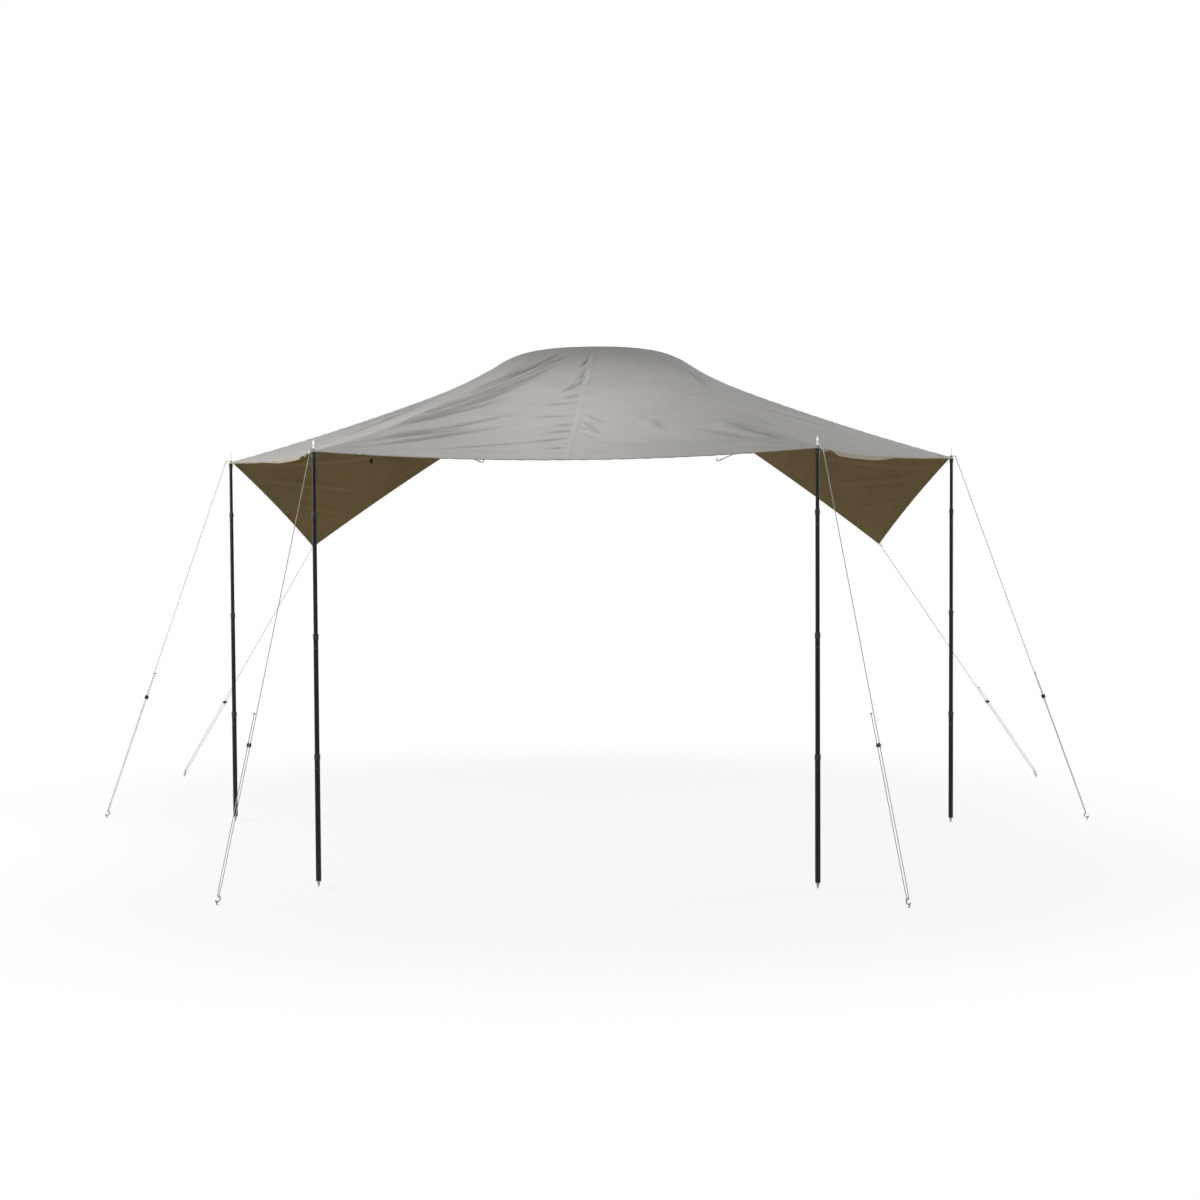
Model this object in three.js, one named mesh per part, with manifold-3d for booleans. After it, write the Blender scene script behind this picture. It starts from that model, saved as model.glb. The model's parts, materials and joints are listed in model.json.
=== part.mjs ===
// A stretched-cloth side awning: a six-cornered sheet with an arched rear edge, four telescopic poles
// whose pins pass through the sheet's eyelets, and six guylines with runners and hook pegs.
// Lengths are in millimetres. +Z is up, the arched rear edge faces +Y and the open front faces -Y.
// The origin is on the ground, in the middle of the cloth.
import * as THREE from 'three';
import { mergeVertices } from 'three/addons/utils/BufferGeometryUtils.js';
import Module from 'manifold-3d';

const wasm = await Module();
wasm.setup();

// Where the cloth is held
const frontPinHalfWidth = 1151;
const rearPinHalfWidth = 1999;
const rearPinSetback = 1965;
const archSetback = 3291;
const wingCornerHalfWidth = 1659;
const wingCornerSetback = 2579;
const wingCornerHeight = 1531;
const tieCornerHalfWidth = 915;
const tieCornerHeight = 2112;
const clothHeight = 2015;
const archHalfWidth = 740;
const archShiftLength = 40;
const archSpringHeight = 2540;
const archCrownHeight = 2746;

// The cloth and how far its edges and folds hang or bow
const clothThickness = 1.2;
const cornerOverhangLength = 15;
const cornerDropHeight = 4;
const frontHemSagHeight = 46;
const frontHemBowLength = 50;
const sideHemSagHeight = 16;
const sideHemBowLength = 60;
const seamSagHeight = 90;
const frontRidgeSagHeight = 68;
const wingRidgeSagHeight = 20;
const wingEdgeBowLength = 14;
const wingSeamGap = 0.4;
const wingStartLength = 24;

// The outline of half the arch, from its crown to its foot: shares of its half width and of its rise
const archShares = [[0, 1], [0.325, 0.956], [0.56, 0.825], [0.715, 0.62], [0.857, 0.316], [1, 0]];
// How far round the half arch the front ridge meets it
const archRidgeShare = 0.43;

// Eyelets
const eyeletRadius = 11;
const eyeletLowerHeight = 6;
const eyeletUpperHeight = 6;
const eyeletHoleRadius = 4.2;
const wingEyeletInsetLength = 9;
const wingEyeletHoleRadius = 4.6;

// Bead along the arch
const beadRadius = 4;
const beadEndInsetLength = 45;
// How much of its thickness the slanting cloth reaches back over the arch's plane
const beadClothShare = 0.25;

// Poles: four tubes, each sliding in the one below
const baseTubeRadius = 12.5;
const tubeWallThickness = 1;
const slideClearanceGap = 0.3;
// Where the three mouths lie on the way from the ground to the top tube's end
const mouthShares = [0.31, 0.591, 0.873];
const tubeOverlapLength = 90;
const topTubeOverlapLength = 306;
const collarHeight = 26;
const collarProudHeight = 2.2;
const collarBevelWidth = 1.5;
const stopMarginGap = 4;

// Push buttons in the tube walls
const buttonRadius = 3.2;
const buttonClearanceGap = 0.4;
const buttonProudHeight = 1.4;
const buttonBevelWidth = 0.8;
const buttonDropHeight = 40;

// The pin and its plug at the top of a pole
const pinRadius = 3.25;
const pinHeight = 48;
const pinTaperHeight = 3;
const pinTipRadius = 1.6;
const plugRadius = 11;
const plugHeight = 24;
const plugBevelWidth = 2;
const plugShankLength = 20;

// The foot spike
const spikeHeight = 28;
const spikeRadius = 8.5;
const spikeTipRadius = 2;
const footShankLength = 12;

// Guylines
const cordRadius = 1.9;
const eyeRadius = 8;
const eyeEndGap = 4.7;
const eyeEndLength = 14;
const eyeEndInsetShare = 0.4;
const wingEyeLength = 35;
const wingEyeNeckLength = 26;
const pinLineReachLength = 24;
const lineBendRadius = 9;
const strandHalfSpacingWidth = 8;
const strandFlareLength = 60;
const runnerHeightShare = 1 / 3;
const tailLength = 147;

// Runners
const runnerLength = 32;
const runnerWidth = 12;
const runnerThickness = 6;
const runnerHoleClearanceGap = 0.6;

// Pegs: round wire bent to a hook, shown from the ground up
const pegWireRadius = 3;
const pegHookRadius = 13;
const pegHookHeight = 28;
const pegBuriedTrimLength = 6;
const frontPegHalfWidth = 1517;
const frontPegAheadLength = 440;
const rearPegHalfWidth = 2763;
const rearPegSetback = 2071;
const wingPegHalfWidth = 2779;
const wingPegSetback = 3851;

// Ties at the rear corners
const tieCordRadius = 2.5;
const tieKnotRadius = 6;
const tieKnotSetbackLength = 9.6;
const tieHookRadius = 9;
const tieHookHalfWidth = 727;
const tieHookHeight = 2036;

const seatGap = 0.3;
const cutOverrunLength = 5;

const pegHookStartDegrees = 205;
const pegHookEndDegrees = -20;
const tieHookDegrees = 200;
const eyeStartDegrees = 70;
const eyeEndDegrees = 270;
const tubeSides = 12;
const buttonSides = 8;
const cordSides = 8;
const runnerCurveSteps = 4;
const pegHookSteps = 10;
const eyeSteps = 8;
const kneeSteps = 3;
const pegLoopSteps = 6;
const tieHookSteps = 7;
const clothRows = 10;
const frontColumns = 6;
const sideColumns = 8;
const wingColumns = 6;
const archSteps = 24;
const normalStepShare = 0.05;

const beadOffset = beadClothShare * clothThickness + seatGap + beadRadius;
const flatFacing = Math.cos(Math.PI / tubeSides);
const frontReach = (baseTubeRadius + collarProudHeight) * flatFacing;
const frontY = (frontReach - archSetback - beadOffset - beadRadius) / 2;
const archY = frontY + archSetback;
const up = new THREE.Vector3(0, 0, 1);
const point = (x, y, z) => new THREE.Vector3(x, y, z);
const radians = (degrees) => THREE.MathUtils.degToRad(degrees);

// Solids

function solidOf(geometry) {
  geometry.deleteAttribute('normal');
  geometry.deleteAttribute('uv');
  const merged = mergeVertices(geometry);
  return new wasm.Manifold(new wasm.Mesh({
    numProp: 3,
    vertProperties: new Float32Array(merged.attributes.position.array),
    triVerts: new Uint32Array(merged.index.array),
  }));
}

function geometryOf(solid) {
  const mesh = solid.getMesh();
  const geometry = new THREE.BufferGeometry();
  geometry.setAttribute('position', new THREE.BufferAttribute(mesh.vertProperties, mesh.numProp));
  geometry.setIndex(new THREE.BufferAttribute(mesh.triVerts, 1));
  return geometry;
}

function less(geometry, cuts) {
  return geometryOf(cuts.reduce((solid, cut) => solid.subtract(solidOf(cut)), solidOf(geometry)));
}

function joined(geometries) {
  return geometryOf(geometries.map(solidOf).reduce((whole, solid) => whole.add(solid)));
}

// A profile of [radius, height] pairs turned about Z, with a flat side facing -Y
function turned(profile, sides) {
  const outline = profile.map(([radius, height]) => new THREE.Vector2(radius, height));
  const geometry = new THREE.LatheGeometry(outline, sides, Math.PI / sides);
  geometry.rotateX(Math.PI / 2);
  return geometryOf(solidOf(geometry));
}

// A route whose steps fall on its own points
class Route extends THREE.Curve {
  constructor(points) {
    super();
    this.points = points;
  }

  getPoint(share) {
    const place = share * (this.points.length - 1);
    const index = Math.min(Math.floor(place + 1e-9), this.points.length - 2);
    return this.points[index].clone().lerp(this.points[index + 1], place - index);
  }

  getPointAt(share) {
    return this.getPoint(share);
  }

  getTangentAt(share) {
    const last = this.points.length - 1;
    const index = Math.round(share * last);
    const before = this.points[Math.max(index - 1, 0)];
    const after = this.points[Math.min(index + 1, last)];
    const here = this.points[index];
    const tangent = point(0, 0, 0);
    if (index > 0) tangent.add(here.clone().sub(before).normalize());
    if (index < last) tangent.add(after.clone().sub(here).normalize());
    return tangent.normalize();
  }
}

function roundSection(radius, sides) {
  const corners = Array.from({ length: sides }, (_, i) => {
    const angle = (2 * Math.PI * i) / sides;
    return new THREE.Vector2(radius * Math.cos(angle), radius * Math.sin(angle));
  });
  return new THREE.Shape(corners);
}

function swept(points, radius, sides) {
  const route = new Route(points);
  const options = { steps: points.length - 1, extrudePath: route, bevelEnabled: false };
  return geometryOf(solidOf(new THREE.ExtrudeGeometry(roundSection(radius, sides), options)));
}

// A cylinder from one point to another
function rod(from, to, radius, sides) {
  const length = to.distanceTo(from);
  const geometry = new THREE.CylinderGeometry(radius, radius, length, sides);
  const turn = new THREE.Quaternion().setFromUnitVectors(
    point(0, 1, 0), to.clone().sub(from).normalize());
  geometry.applyQuaternion(turn);
  const middle = from.clone().lerp(to, 0.5);
  geometry.translate(middle.x, middle.y, middle.z);
  return geometry;
}

// A grid of points, given a thickness along its normals
function sheetSolid(grid, thickness) {
  const rows = grid.length;
  const columns = grid[0].length;
  const normals = grid.map((row) => row.map(() => point(0, 0, 0)));
  for (let r = 0; r < rows - 1; r += 1) {
    for (let c = 0; c < columns - 1; c += 1) {
      const across = grid[r + 1][c + 1].clone().sub(grid[r][c]);
      const back = grid[r + 1][c].clone().sub(grid[r][c + 1]);
      const normal = across.cross(back);
      for (const [i, j] of [[r, c], [r, c + 1], [r + 1, c], [r + 1, c + 1]]) {
        normals[i][j].add(normal);
      }
    }
  }
  const positions = [];
  for (const side of [1, -1]) {
    grid.forEach((row, r) => row.forEach((p, c) => {
      const shift = normals[r][c].clone().setLength(side * thickness / 2);
      positions.push(...p.clone().add(shift).toArray());
    }));
  }
  const lower = rows * columns;
  const at = (r, c) => r * columns + c;
  const index = [];
  const quad = (a, b, c, d) => index.push(a, b, c, a, c, d);
  for (let r = 0; r < rows - 1; r += 1) {
    for (let c = 0; c < columns - 1; c += 1) {
      const cell = [at(r, c), at(r, c + 1), at(r + 1, c + 1), at(r + 1, c)];
      quad(...cell);
      quad(...cell.reverse().map((i) => i + lower));
    }
  }
  const rim = (a, b) => quad(b, a, a + lower, b + lower);
  for (let c = 0; c < columns - 1; c += 1) {
    rim(at(0, c), at(0, c + 1));
    rim(at(rows - 1, c + 1), at(rows - 1, c));
  }
  for (let r = 0; r < rows - 1; r += 1) {
    rim(at(r + 1, 0), at(r, 0));
    rim(at(r, columns - 1), at(r + 1, columns - 1));
  }
  const geometry = new THREE.BufferGeometry();
  geometry.setAttribute('position', new THREE.Float32BufferAttribute(positions, 3));
  geometry.setIndex(index);
  return geometry;
}

// The cloth's corners and edges, for the side -1 (left) or 1 (right)

const clothMiddle = point(0, (frontY + archY) / 2, clothHeight);
const frontPin = (side) => point(side * frontPinHalfWidth, frontY, clothHeight);
const rearPin = (side) => point(side * rearPinHalfWidth, frontY + rearPinSetback, clothHeight);
const overhung = (pin) => pin.clone().setZ(clothHeight - cornerDropHeight)
  .add(pin.clone().sub(clothMiddle).setZ(0).setLength(cornerOverhangLength));
const frontCorner = (side) => overhung(frontPin(side));
const rearCorner = (side) => overhung(rearPin(side));
const wingCorner = (side) => point(
  side * wingCornerHalfWidth, frontY + wingCornerSetback, wingCornerHeight);
const tieCorner = (side) => point(side * tieCornerHalfWidth, archY, tieCornerHeight);

const archRise = archCrownHeight - archSpringHeight;
const archSide = (side) => archShares.map(([across, rise]) => point(
  side * across * archHalfWidth - archShiftLength, archY, archSpringHeight + rise * archRise));
const archCurve = new THREE.CatmullRomCurve3([...archSide(-1).reverse(), ...archSide(1).slice(1)]);
const archAt = (side, share) => archCurve.getPointAt(0.5 + side * share / 2);

// An edge between two points that is moved by the offset at its middle
const bowed = (start, end, offset) => (t) => start.clone().lerp(end, t)
  .addScaledVector(offset, 4 * t * (1 - t));
const towards = (from, to, length) => to.clone().sub(from).setLength(length);

function sideHem(side) {
  const [start, end] = [frontCorner(side), rearCorner(side)];
  const inwards = towards(start.clone().lerp(end, 0.5), clothMiddle, sideHemBowLength);
  return bowed(start, end, inwards.setZ(-sideHemSagHeight));
}

const frontHem = bowed(frontCorner(-1), frontCorner(1), point(0, frontHemBowLength, -frontHemSagHeight));
const seam = bowed(frontHem(0.5), archAt(1, 0), point(0, 0, -seamSagHeight));
const frontRidge = (side) => bowed(
  frontCorner(side), archAt(side, archRidgeShare), point(0, 0, -frontRidgeSagHeight));
const wingRidge = (side) => bowed(rearCorner(side), archAt(side, 1), point(0, 0, -wingRidgeSagHeight));

// The surface blended between four edges that meet at their ends
function blended(near, far, left, right) {
  const corners = [near(0), near(1), far(0), far(1)];
  return (u, v) => {
    const along = near(u).lerp(far(u), v);
    const across = left(v).lerp(right(v), u);
    const flat = corners[0].clone().lerp(corners[1], u)
      .lerp(corners[2].clone().lerp(corners[3], u), v);
    return along.add(across).sub(flat);
  };
}

const frontPanel = (side) => blended(
  (u) => frontHem(0.5 + side * u / 2),
  (u) => archAt(side, u * archRidgeShare),
  seam,
  frontRidge(side),
);
const sidePanel = (side) => blended(
  sideHem(side),
  (u) => archAt(side, archRidgeShare + u * (1 - archRidgeShare)),
  frontRidge(side),
  wingRidge(side),
);

function roofGrid() {
  const panels = { left: [sidePanel(-1), frontPanel(-1)], right: [sidePanel(1), frontPanel(1)] };
  return Array.from({ length: clothRows + 1 }, (_, r) => {
    const v = r / clothRows;
    const row = [];
    for (let c = sideColumns; c > 0; c -= 1) row.push(panels.left[0](c / sideColumns, v));
    for (let c = frontColumns; c > 0; c -= 1) row.push(panels.left[1](c / frontColumns, v));
    for (let c = 0; c < frontColumns; c += 1) row.push(panels.right[1](c / frontColumns, v));
    for (let c = 0; c <= sideColumns; c += 1) row.push(panels.right[0](c / sideColumns, v));
    return row;
  });
}

const pins = [frontPin(-1), frontPin(1), rearPin(-1), rearPin(1)];
const raised = (p, height) => p.clone().addScaledVector(up, height);

function roofPanel() {
  const eyelets = pins.map((pin) => rod(
    raised(pin, -eyeletLowerHeight), raised(pin, eyeletUpperHeight), eyeletRadius, tubeSides));
  const holes = pins.map((pin) => rod(
    raised(pin, -eyeletLowerHeight - cutOverrunLength), raised(pin, eyeletUpperHeight + cutOverrunLength),
    eyeletHoleRadius, buttonSides));
  return less(joined([sheetSolid(roofGrid(), clothThickness), ...eyelets]), holes);
}

// A wing hangs from its ridge, just under the roof's edge, and starts clear of the pole
function wingSurface(side) {
  const ridge = wingRidge(side);
  const ridgeLength = ridge(0).distanceTo(ridge(1));
  const startShare = wingStartLength / ridgeLength;
  const drop = clothThickness / 2 + wingSeamGap;
  const corner = wingCorner(side);
  const tie = tieCorner(side);
  const hung = (t) => {
    const p = ridge(startShare + t * (1 - startShare));
    return p.add(towards(p, corner.clone().lerp(tie, t), drop));
  };
  const middle = corner.clone().lerp(hung(0.5), 0.5);
  const outerMiddle = hung(0).lerp(corner, 0.5);
  const rearMiddle = corner.clone().lerp(tie, 0.5);
  return blended(
    bowed(hung(0), corner, towards(outerMiddle, middle, wingEdgeBowLength)),
    bowed(hung(1), tie, point(0, 0, 0)),
    hung,
    bowed(corner, tie, towards(rearMiddle, middle, wingEdgeBowLength)),
  );
}

function wingNormal(side, u, v) {
  const surface = wingSurface(side);
  const [du, dv] = [u, v].map((share) => (share > 0.5 ? -normalStepShare : normalStepShare));
  const along = surface(u + du, v).sub(surface(u, v)).divideScalar(du);
  const across = surface(u, v + dv).sub(surface(u, v)).divideScalar(dv);
  return along.cross(across).normalize();
}

// The hole at a wing's corner, a little way in along the line that halves the corner
function inset(corner, first, second, length) {
  const inwards = towards(corner, first, 1).add(towards(corner, second, 1));
  return corner.clone().add(inwards.setLength(length));
}
const wingEyelet = (side) => inset(
  wingCorner(side), wingSurface(side)(0, 0), tieCorner(side), wingEyeletInsetLength);
const tieEyelet = (side) => inset(
  tieCorner(side), wingCorner(side), wingSurface(side)(0, 1), wingEyeletInsetLength);

function wingPanel(side) {
  const surface = wingSurface(side);
  const grid = Array.from({ length: clothRows + 1 }, (_, r) => Array.from(
    { length: wingColumns + 1 },
    (__, c) => surface((side > 0 ? c : wingColumns - c) / wingColumns, r / clothRows)));
  const holeAt = (centre, normal) => rod(
    centre.clone().addScaledVector(normal, -cutOverrunLength),
    centre.clone().addScaledVector(normal, cutOverrunLength), wingEyeletHoleRadius, buttonSides);
  return less(sheetSolid(grid, clothThickness), [
    holeAt(wingEyelet(side), wingNormal(side, 1, 0)),
    holeAt(tieEyelet(side), wingNormal(side, 1, 1)),
  ]);
}

// The bead lies behind the arched edge, from one tie corner to the other
function beadRoute() {
  const sideRun = (side) => {
    const foot = archAt(side, 1);
    const end = tieCorner(side).add(towards(tieCorner(side), foot, beadEndInsetLength));
    return [end, end.clone().lerp(foot, 0.5)];
  };
  const arch = Array.from({ length: archSteps + 1 }, (_, i) => archCurve.getPointAt(i / archSteps));
  const route = [...sideRun(-1), ...arch, ...sideRun(1).reverse()];
  return route.map((p) => p.add(point(0, beadOffset, 0)));
}

// Poles

const tubeRadius = (level) => baseTubeRadius - level * (tubeWallThickness + slideClearanceGap);
const boreRadius = (level) => tubeRadius(level) - tubeWallThickness;
const plugTop = clothHeight - eyeletLowerHeight - seatGap;
const plugFoot = plugTop - plugHeight;
const topTubeEnd = plugFoot - seatGap;
const mouths = mouthShares.map((share) => share * topTubeEnd);
const tubeFeet = [
  spikeHeight + seatGap,
  mouths[0] - tubeOverlapLength,
  mouths[1] - tubeOverlapLength,
  mouths[2] - topTubeOverlapLength,
];
const buttonHeights = mouths.map((mouth) => mouth - collarHeight - buttonDropHeight);
const shankTop = spikeHeight + footShankLength;

// How far each tube slides up over the next one before it meets a button, the plug or the foot
const travels = [
  Math.min(
    buttonHeights[1] - buttonRadius - stopMarginGap - mouths[0],
    tubeFeet[1] - shankTop - stopMarginGap,
  ),
  buttonHeights[2] - buttonRadius - stopMarginGap - mouths[1],
  plugFoot - stopMarginGap - mouths[2],
];

const buttonHole = (height, level) => rod(
  point(0, -(boreRadius(level) - tubeWallThickness), height),
  point(0, -(tubeRadius(level) + cutOverrunLength), height),
  buttonRadius + buttonClearanceGap, buttonSides);

function tube(level) {
  const [outer, bore, foot] = [tubeRadius(level), boreRadius(level), tubeFeet[level]];
  const holes = [];
  if (level > 0) {
    holes.push(buttonHole(buttonHeights[level - 1], level));
    holes.push(buttonHole(buttonHeights[level - 1] + travels[level - 1], level));
  }
  if (level === mouths.length) {
    const plain = [[bore, foot], [outer, foot], [outer, topTubeEnd], [bore, topTubeEnd], [bore, foot]];
    return less(turned(plain, tubeSides), holes);
  }
  const mouth = mouths[level];
  const collar = outer + collarProudHeight;
  const collarFoot = mouth - collarHeight;
  holes.push(buttonHole(buttonHeights[level], level));
  return less(turned([
    [bore, foot], [outer, foot], [outer, collarFoot - collarBevelWidth], [collar, collarFoot],
    [collar, mouth - collarBevelWidth], [collar - collarBevelWidth, mouth], [bore, mouth], [bore, foot],
  ], tubeSides), holes);
}

function button(level) {
  const tip = tubeRadius(level + 1) * flatFacing + seatGap;
  const length = tubeRadius(level) * flatFacing + buttonProudHeight - tip;
  const geometry = turned([
    [0, 0], [buttonRadius, 0], [buttonRadius, length - buttonBevelWidth],
    [buttonRadius - buttonBevelWidth, length], [0, length],
  ], buttonSides);
  geometry.rotateX(Math.PI / 2);
  geometry.translate(0, -tip, buttonHeights[level]);
  return geometry;
}

function pinAndPlug() {
  const shank = boreRadius(mouths.length) - slideClearanceGap;
  const pinTop = clothHeight + pinHeight;
  return turned([
    [0, plugFoot - plugShankLength], [shank, plugFoot - plugShankLength], [shank, plugFoot],
    [plugRadius - plugBevelWidth, plugFoot], [plugRadius, plugFoot + plugBevelWidth], [plugRadius, plugTop],
    [pinRadius, plugTop], [pinRadius, pinTop - pinTaperHeight], [pinTipRadius, pinTop], [0, pinTop],
  ], tubeSides);
}

function footSpike() {
  const shank = boreRadius(0) - slideClearanceGap;
  return turned([
    [0, 0], [spikeTipRadius, 0], [spikeRadius, spikeHeight], [shank, spikeHeight],
    [shank, shankTop], [0, shankTop],
  ], tubeSides);
}

// Pegs and guylines

const pegPlace = {
  front: (side) => point(side * frontPegHalfWidth, frontY - frontPegAheadLength, pegHookHeight),
  rear: (side) => point(side * rearPegHalfWidth, frontY + rearPegSetback, pegHookHeight),
  wing: (side) => point(side * wingPegHalfWidth, frontY + wingPegSetback, pegHookHeight),
};

// The peg's wire in its own X-Z plane, with the hook's middle over the origin
function pegRoute() {
  const start = radians(pegHookStartDegrees);
  const end = radians(pegHookEndDegrees);
  const onHook = (angle) => point(
    pegHookRadius * Math.cos(angle), 0, pegHookHeight + pegHookRadius * Math.sin(angle));
  const hook = Array.from(
    { length: pegHookSteps + 1 }, (_, i) => onHook(start + (end - start) * i / pegHookSteps));
  const down = point(-Math.sin(start), 0, Math.cos(start));
  const stemLength = (hook[0].z + pegBuriedTrimLength) / -down.z;
  return [hook[0].clone().addScaledVector(down, stemLength), ...hook];
}

function peg() {
  const trim = new THREE.BoxGeometry(
    4 * pegHookRadius, 4 * pegHookRadius, 2 * pegHookHeight);
  trim.translate(0, 0, -pegHookHeight);
  return less(swept(pegRoute(), pegWireRadius, cordSides), [trim]);
}

const eyeAngles = Array.from({ length: eyeSteps + 1 }, (_, i) => radians(
  eyeStartDegrees + (eyeEndDegrees - eyeStartDegrees) * i / eyeSteps));

// An eye in the plane of `out` and `aside`, whose round end is at `round` and whose short end lies
// beside the standing strand. It starts at the short end.
function eyePoints(round, out, aside) {
  const place = (along, across) => round.clone()
    .addScaledVector(out, along).addScaledVector(aside, across);
  const turn = eyeAngles.map((angle) => place(
    eyeRadius + eyeRadius * Math.cos(angle), eyeRadius * Math.sin(angle)));
  return [place(wingEyeLength, eyeEndGap), place(wingEyeNeckLength, eyeEndGap), ...turn];
}

function lineSpine(top, hook) {
  const rise = towards(hook, top, 1);
  const level = rise.clone().setZ(0).normalize();
  const aside = point(-level.y, level.x, 0);
  return { rise, level, aside, length: top.distanceTo(hook) };
}

// The strands below a point on the line: down one side, round the peg's wire, and up the other
function strandPoints(spine, hook, fromTop) {
  const { rise, aside, length } = spine;
  const place = (along, across) => hook.clone()
    .addScaledVector(rise, along).addScaledVector(aside, across);
  const hugging = pegWireRadius + cordRadius + seatGap;
  const turn = Array.from({ length: pegLoopSteps + 1 }, (_, i) => {
    const angle = Math.PI * i / pegLoopSteps;
    return place(pegHookRadius - hugging * Math.sin(angle), -hugging * Math.cos(angle));
  });
  const flare = pegHookRadius + strandFlareLength;
  const tailTop = length * runnerHeightShare + tailLength;
  return [
    ...fromTop, place(flare, -strandHalfSpacingWidth), ...turn,
    place(flare, strandHalfSpacingWidth), place(length * runnerHeightShare, strandHalfSpacingWidth),
    place(tailTop, strandHalfSpacingWidth),
  ];
}

// From the eye round a pole's pin, over the corner of the cloth and down
function pinLine(pin, hook) {
  const eyeHeight = eyeletUpperHeight + seatGap + cordRadius;
  const centre = raised(pin, eyeHeight);
  const out = hook.clone().sub(centre).setZ(0).normalize();
  const knee = centre.clone().addScaledVector(out, pinLineReachLength);
  const spine = lineSpine(knee, hook);
  const drop = Math.acos(spine.rise.dot(out.clone().negate()));
  const tangent = lineBendRadius * Math.tan(drop / 2);
  const bend = (across) => Array.from({ length: kneeSteps + 1 }, (_, i) => {
    const angle = drop * i / kneeSteps;
    return knee.clone()
      .addScaledVector(out, lineBendRadius * Math.sin(angle) - tangent)
      .addScaledVector(up, lineBendRadius * (Math.cos(angle) - 1))
      .addScaledVector(spine.aside, across(i / kneeSteps));
  });
  const standing = -strandHalfSpacingWidth;
  const end = knee.clone().addScaledVector(spine.rise, -tangent - eyeEndLength)
    .addScaledVector(spine.aside, standing + eyeEndGap);
  const endBend = bend((t) => (standing + eyeEndGap) * THREE.MathUtils.lerp(eyeEndInsetShare, 1, t));
  const turn = eyeAngles.map((angle) => centre.clone()
    .addScaledVector(out, eyeRadius * Math.cos(angle))
    .addScaledVector(spine.aside, eyeRadius * Math.sin(angle)));
  return { spine, points: [end, ...endBend.reverse(), ...turn, ...bend(() => standing)] };
}

// From the eye through a wing's corner, straight down
function wingLine(side, hook) {
  const hole = wingEyelet(side);
  const aim = lineSpine(hole, hook);
  const top = hole.clone().addScaledVector(aim.aside, strandHalfSpacingWidth);
  const spine = lineSpine(top, hook);
  const out = spine.rise.clone().negate();
  const through = wingNormal(side, 1, 0);
  const aside = through.addScaledVector(out, -through.dot(out)).normalize();
  const points = eyePoints(hole, out, aside);
  points.push(hole.clone().addScaledVector(out, wingEyeLength));
  return { spine, points };
}

function runner(spine, hook) {
  const half = runnerLength / 2 - runnerWidth / 2;
  const outline = new THREE.Shape();
  outline.absarc(half, 0, runnerWidth / 2, -Math.PI / 2, Math.PI / 2);
  outline.absarc(-half, 0, runnerWidth / 2, Math.PI / 2, 3 * Math.PI / 2);
  for (const side of [-1, 1]) {
    const hole = roundSection(cordRadius + runnerHoleClearanceGap, cordSides).getPoints()
      .map((p) => p.add(new THREE.Vector2(side * strandHalfSpacingWidth, 0)));
    outline.holes.push(new THREE.Path(hole.reverse()));
  }
  const geometry = new THREE.ExtrudeGeometry(
    outline, { depth: runnerThickness, bevelEnabled: false, curveSegments: runnerCurveSteps });
  geometry.translate(0, 0, -runnerThickness / 2);
  const middle = hook.clone().addScaledVector(spine.rise, spine.length * runnerHeightShare);
  const flat = spine.rise.clone().cross(spine.aside);
  const turn = new THREE.Matrix4().makeBasis(spine.aside, flat, spine.rise);
  return { geometry: geometryOf(solidOf(geometry)), turn, middle };
}

// A tie: a knot behind the rear corner of a wing, a short cord through its eyelet, and an open hook
function tie(side) {
  const hole = tieEyelet(side);
  const hook = point(side * tieHookHalfWidth, archY, tieHookHeight);
  const out = towards(hole, hook, 1);
  const knotMiddle = hole.clone().addScaledVector(out, -tieKnotSetbackLength);
  const straightEnd = hook.clone().addScaledVector(out, -tieHookRadius);
  const level = point(0, -1, 0);
  const down = out.clone().cross(level).multiplyScalar(side);
  const bendMiddle = straightEnd.clone().addScaledVector(down, tieHookRadius);
  const bend = Array.from({ length: tieHookSteps }, (_, i) => {
    const angle = radians(tieHookDegrees) * (i + 1) / tieHookSteps;
    return bendMiddle.clone().addScaledVector(out, tieHookRadius * Math.sin(angle))
      .addScaledVector(down, -tieHookRadius * Math.cos(angle));
  });
  const knot = new THREE.SphereGeometry(tieKnotRadius, cordSides, cordSides - 2);
  knot.translate(knotMiddle.x, knotMiddle.y, knotMiddle.z);
  return joined([swept([knotMiddle, straightEnd, ...bend], tieCordRadius, cordSides), knot]);
}

// Materials

const material = (color, roughness, metalness) => new THREE.MeshStandardMaterial(
  { color, roughness, metalness });
const cloth = material(0xa8a7a2, 0.9, 0);
const beadPlastic = material(0x6f6f6c, 0.6, 0);
const anodised = material(0x1b1c1e, 0.4, 0.6);
const buttonSteel = material(0x2a2b2d, 0.35, 0.7);
const steel = material(0xc4c5c6, 0.3, 1);
const lineCord = material(0xd9d6cc, 0.85, 0);
const runnerPlastic = material(0x141414, 0.5, 0);
const pegSteel = material(0x8d9094, 0.4, 1);
const tieCord = material(0x2b2b29, 0.8, 0);

// Assembly

const awning = new THREE.Group();

function add(name, geometry, look, parent = awning) {
  const mesh = new THREE.Mesh(geometry, look);
  mesh.name = name;
  parent.add(mesh);
  return mesh;
}

add('roof_panel', roofPanel(), cloth);
add('rear_edge_bead', swept(beadRoute(), beadRadius, cordSides), beadPlastic);

const sideNames = [[-1, 'left'], [1, 'right']];
const levelNames = ['base', 'lower', 'upper', 'top'];

for (const [side, sideName] of sideNames) {
  add(`wing_${sideName}`, wingPanel(side), cloth);
  add(`rear_tie_${sideName}`, tie(side), tieCord);
}

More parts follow.
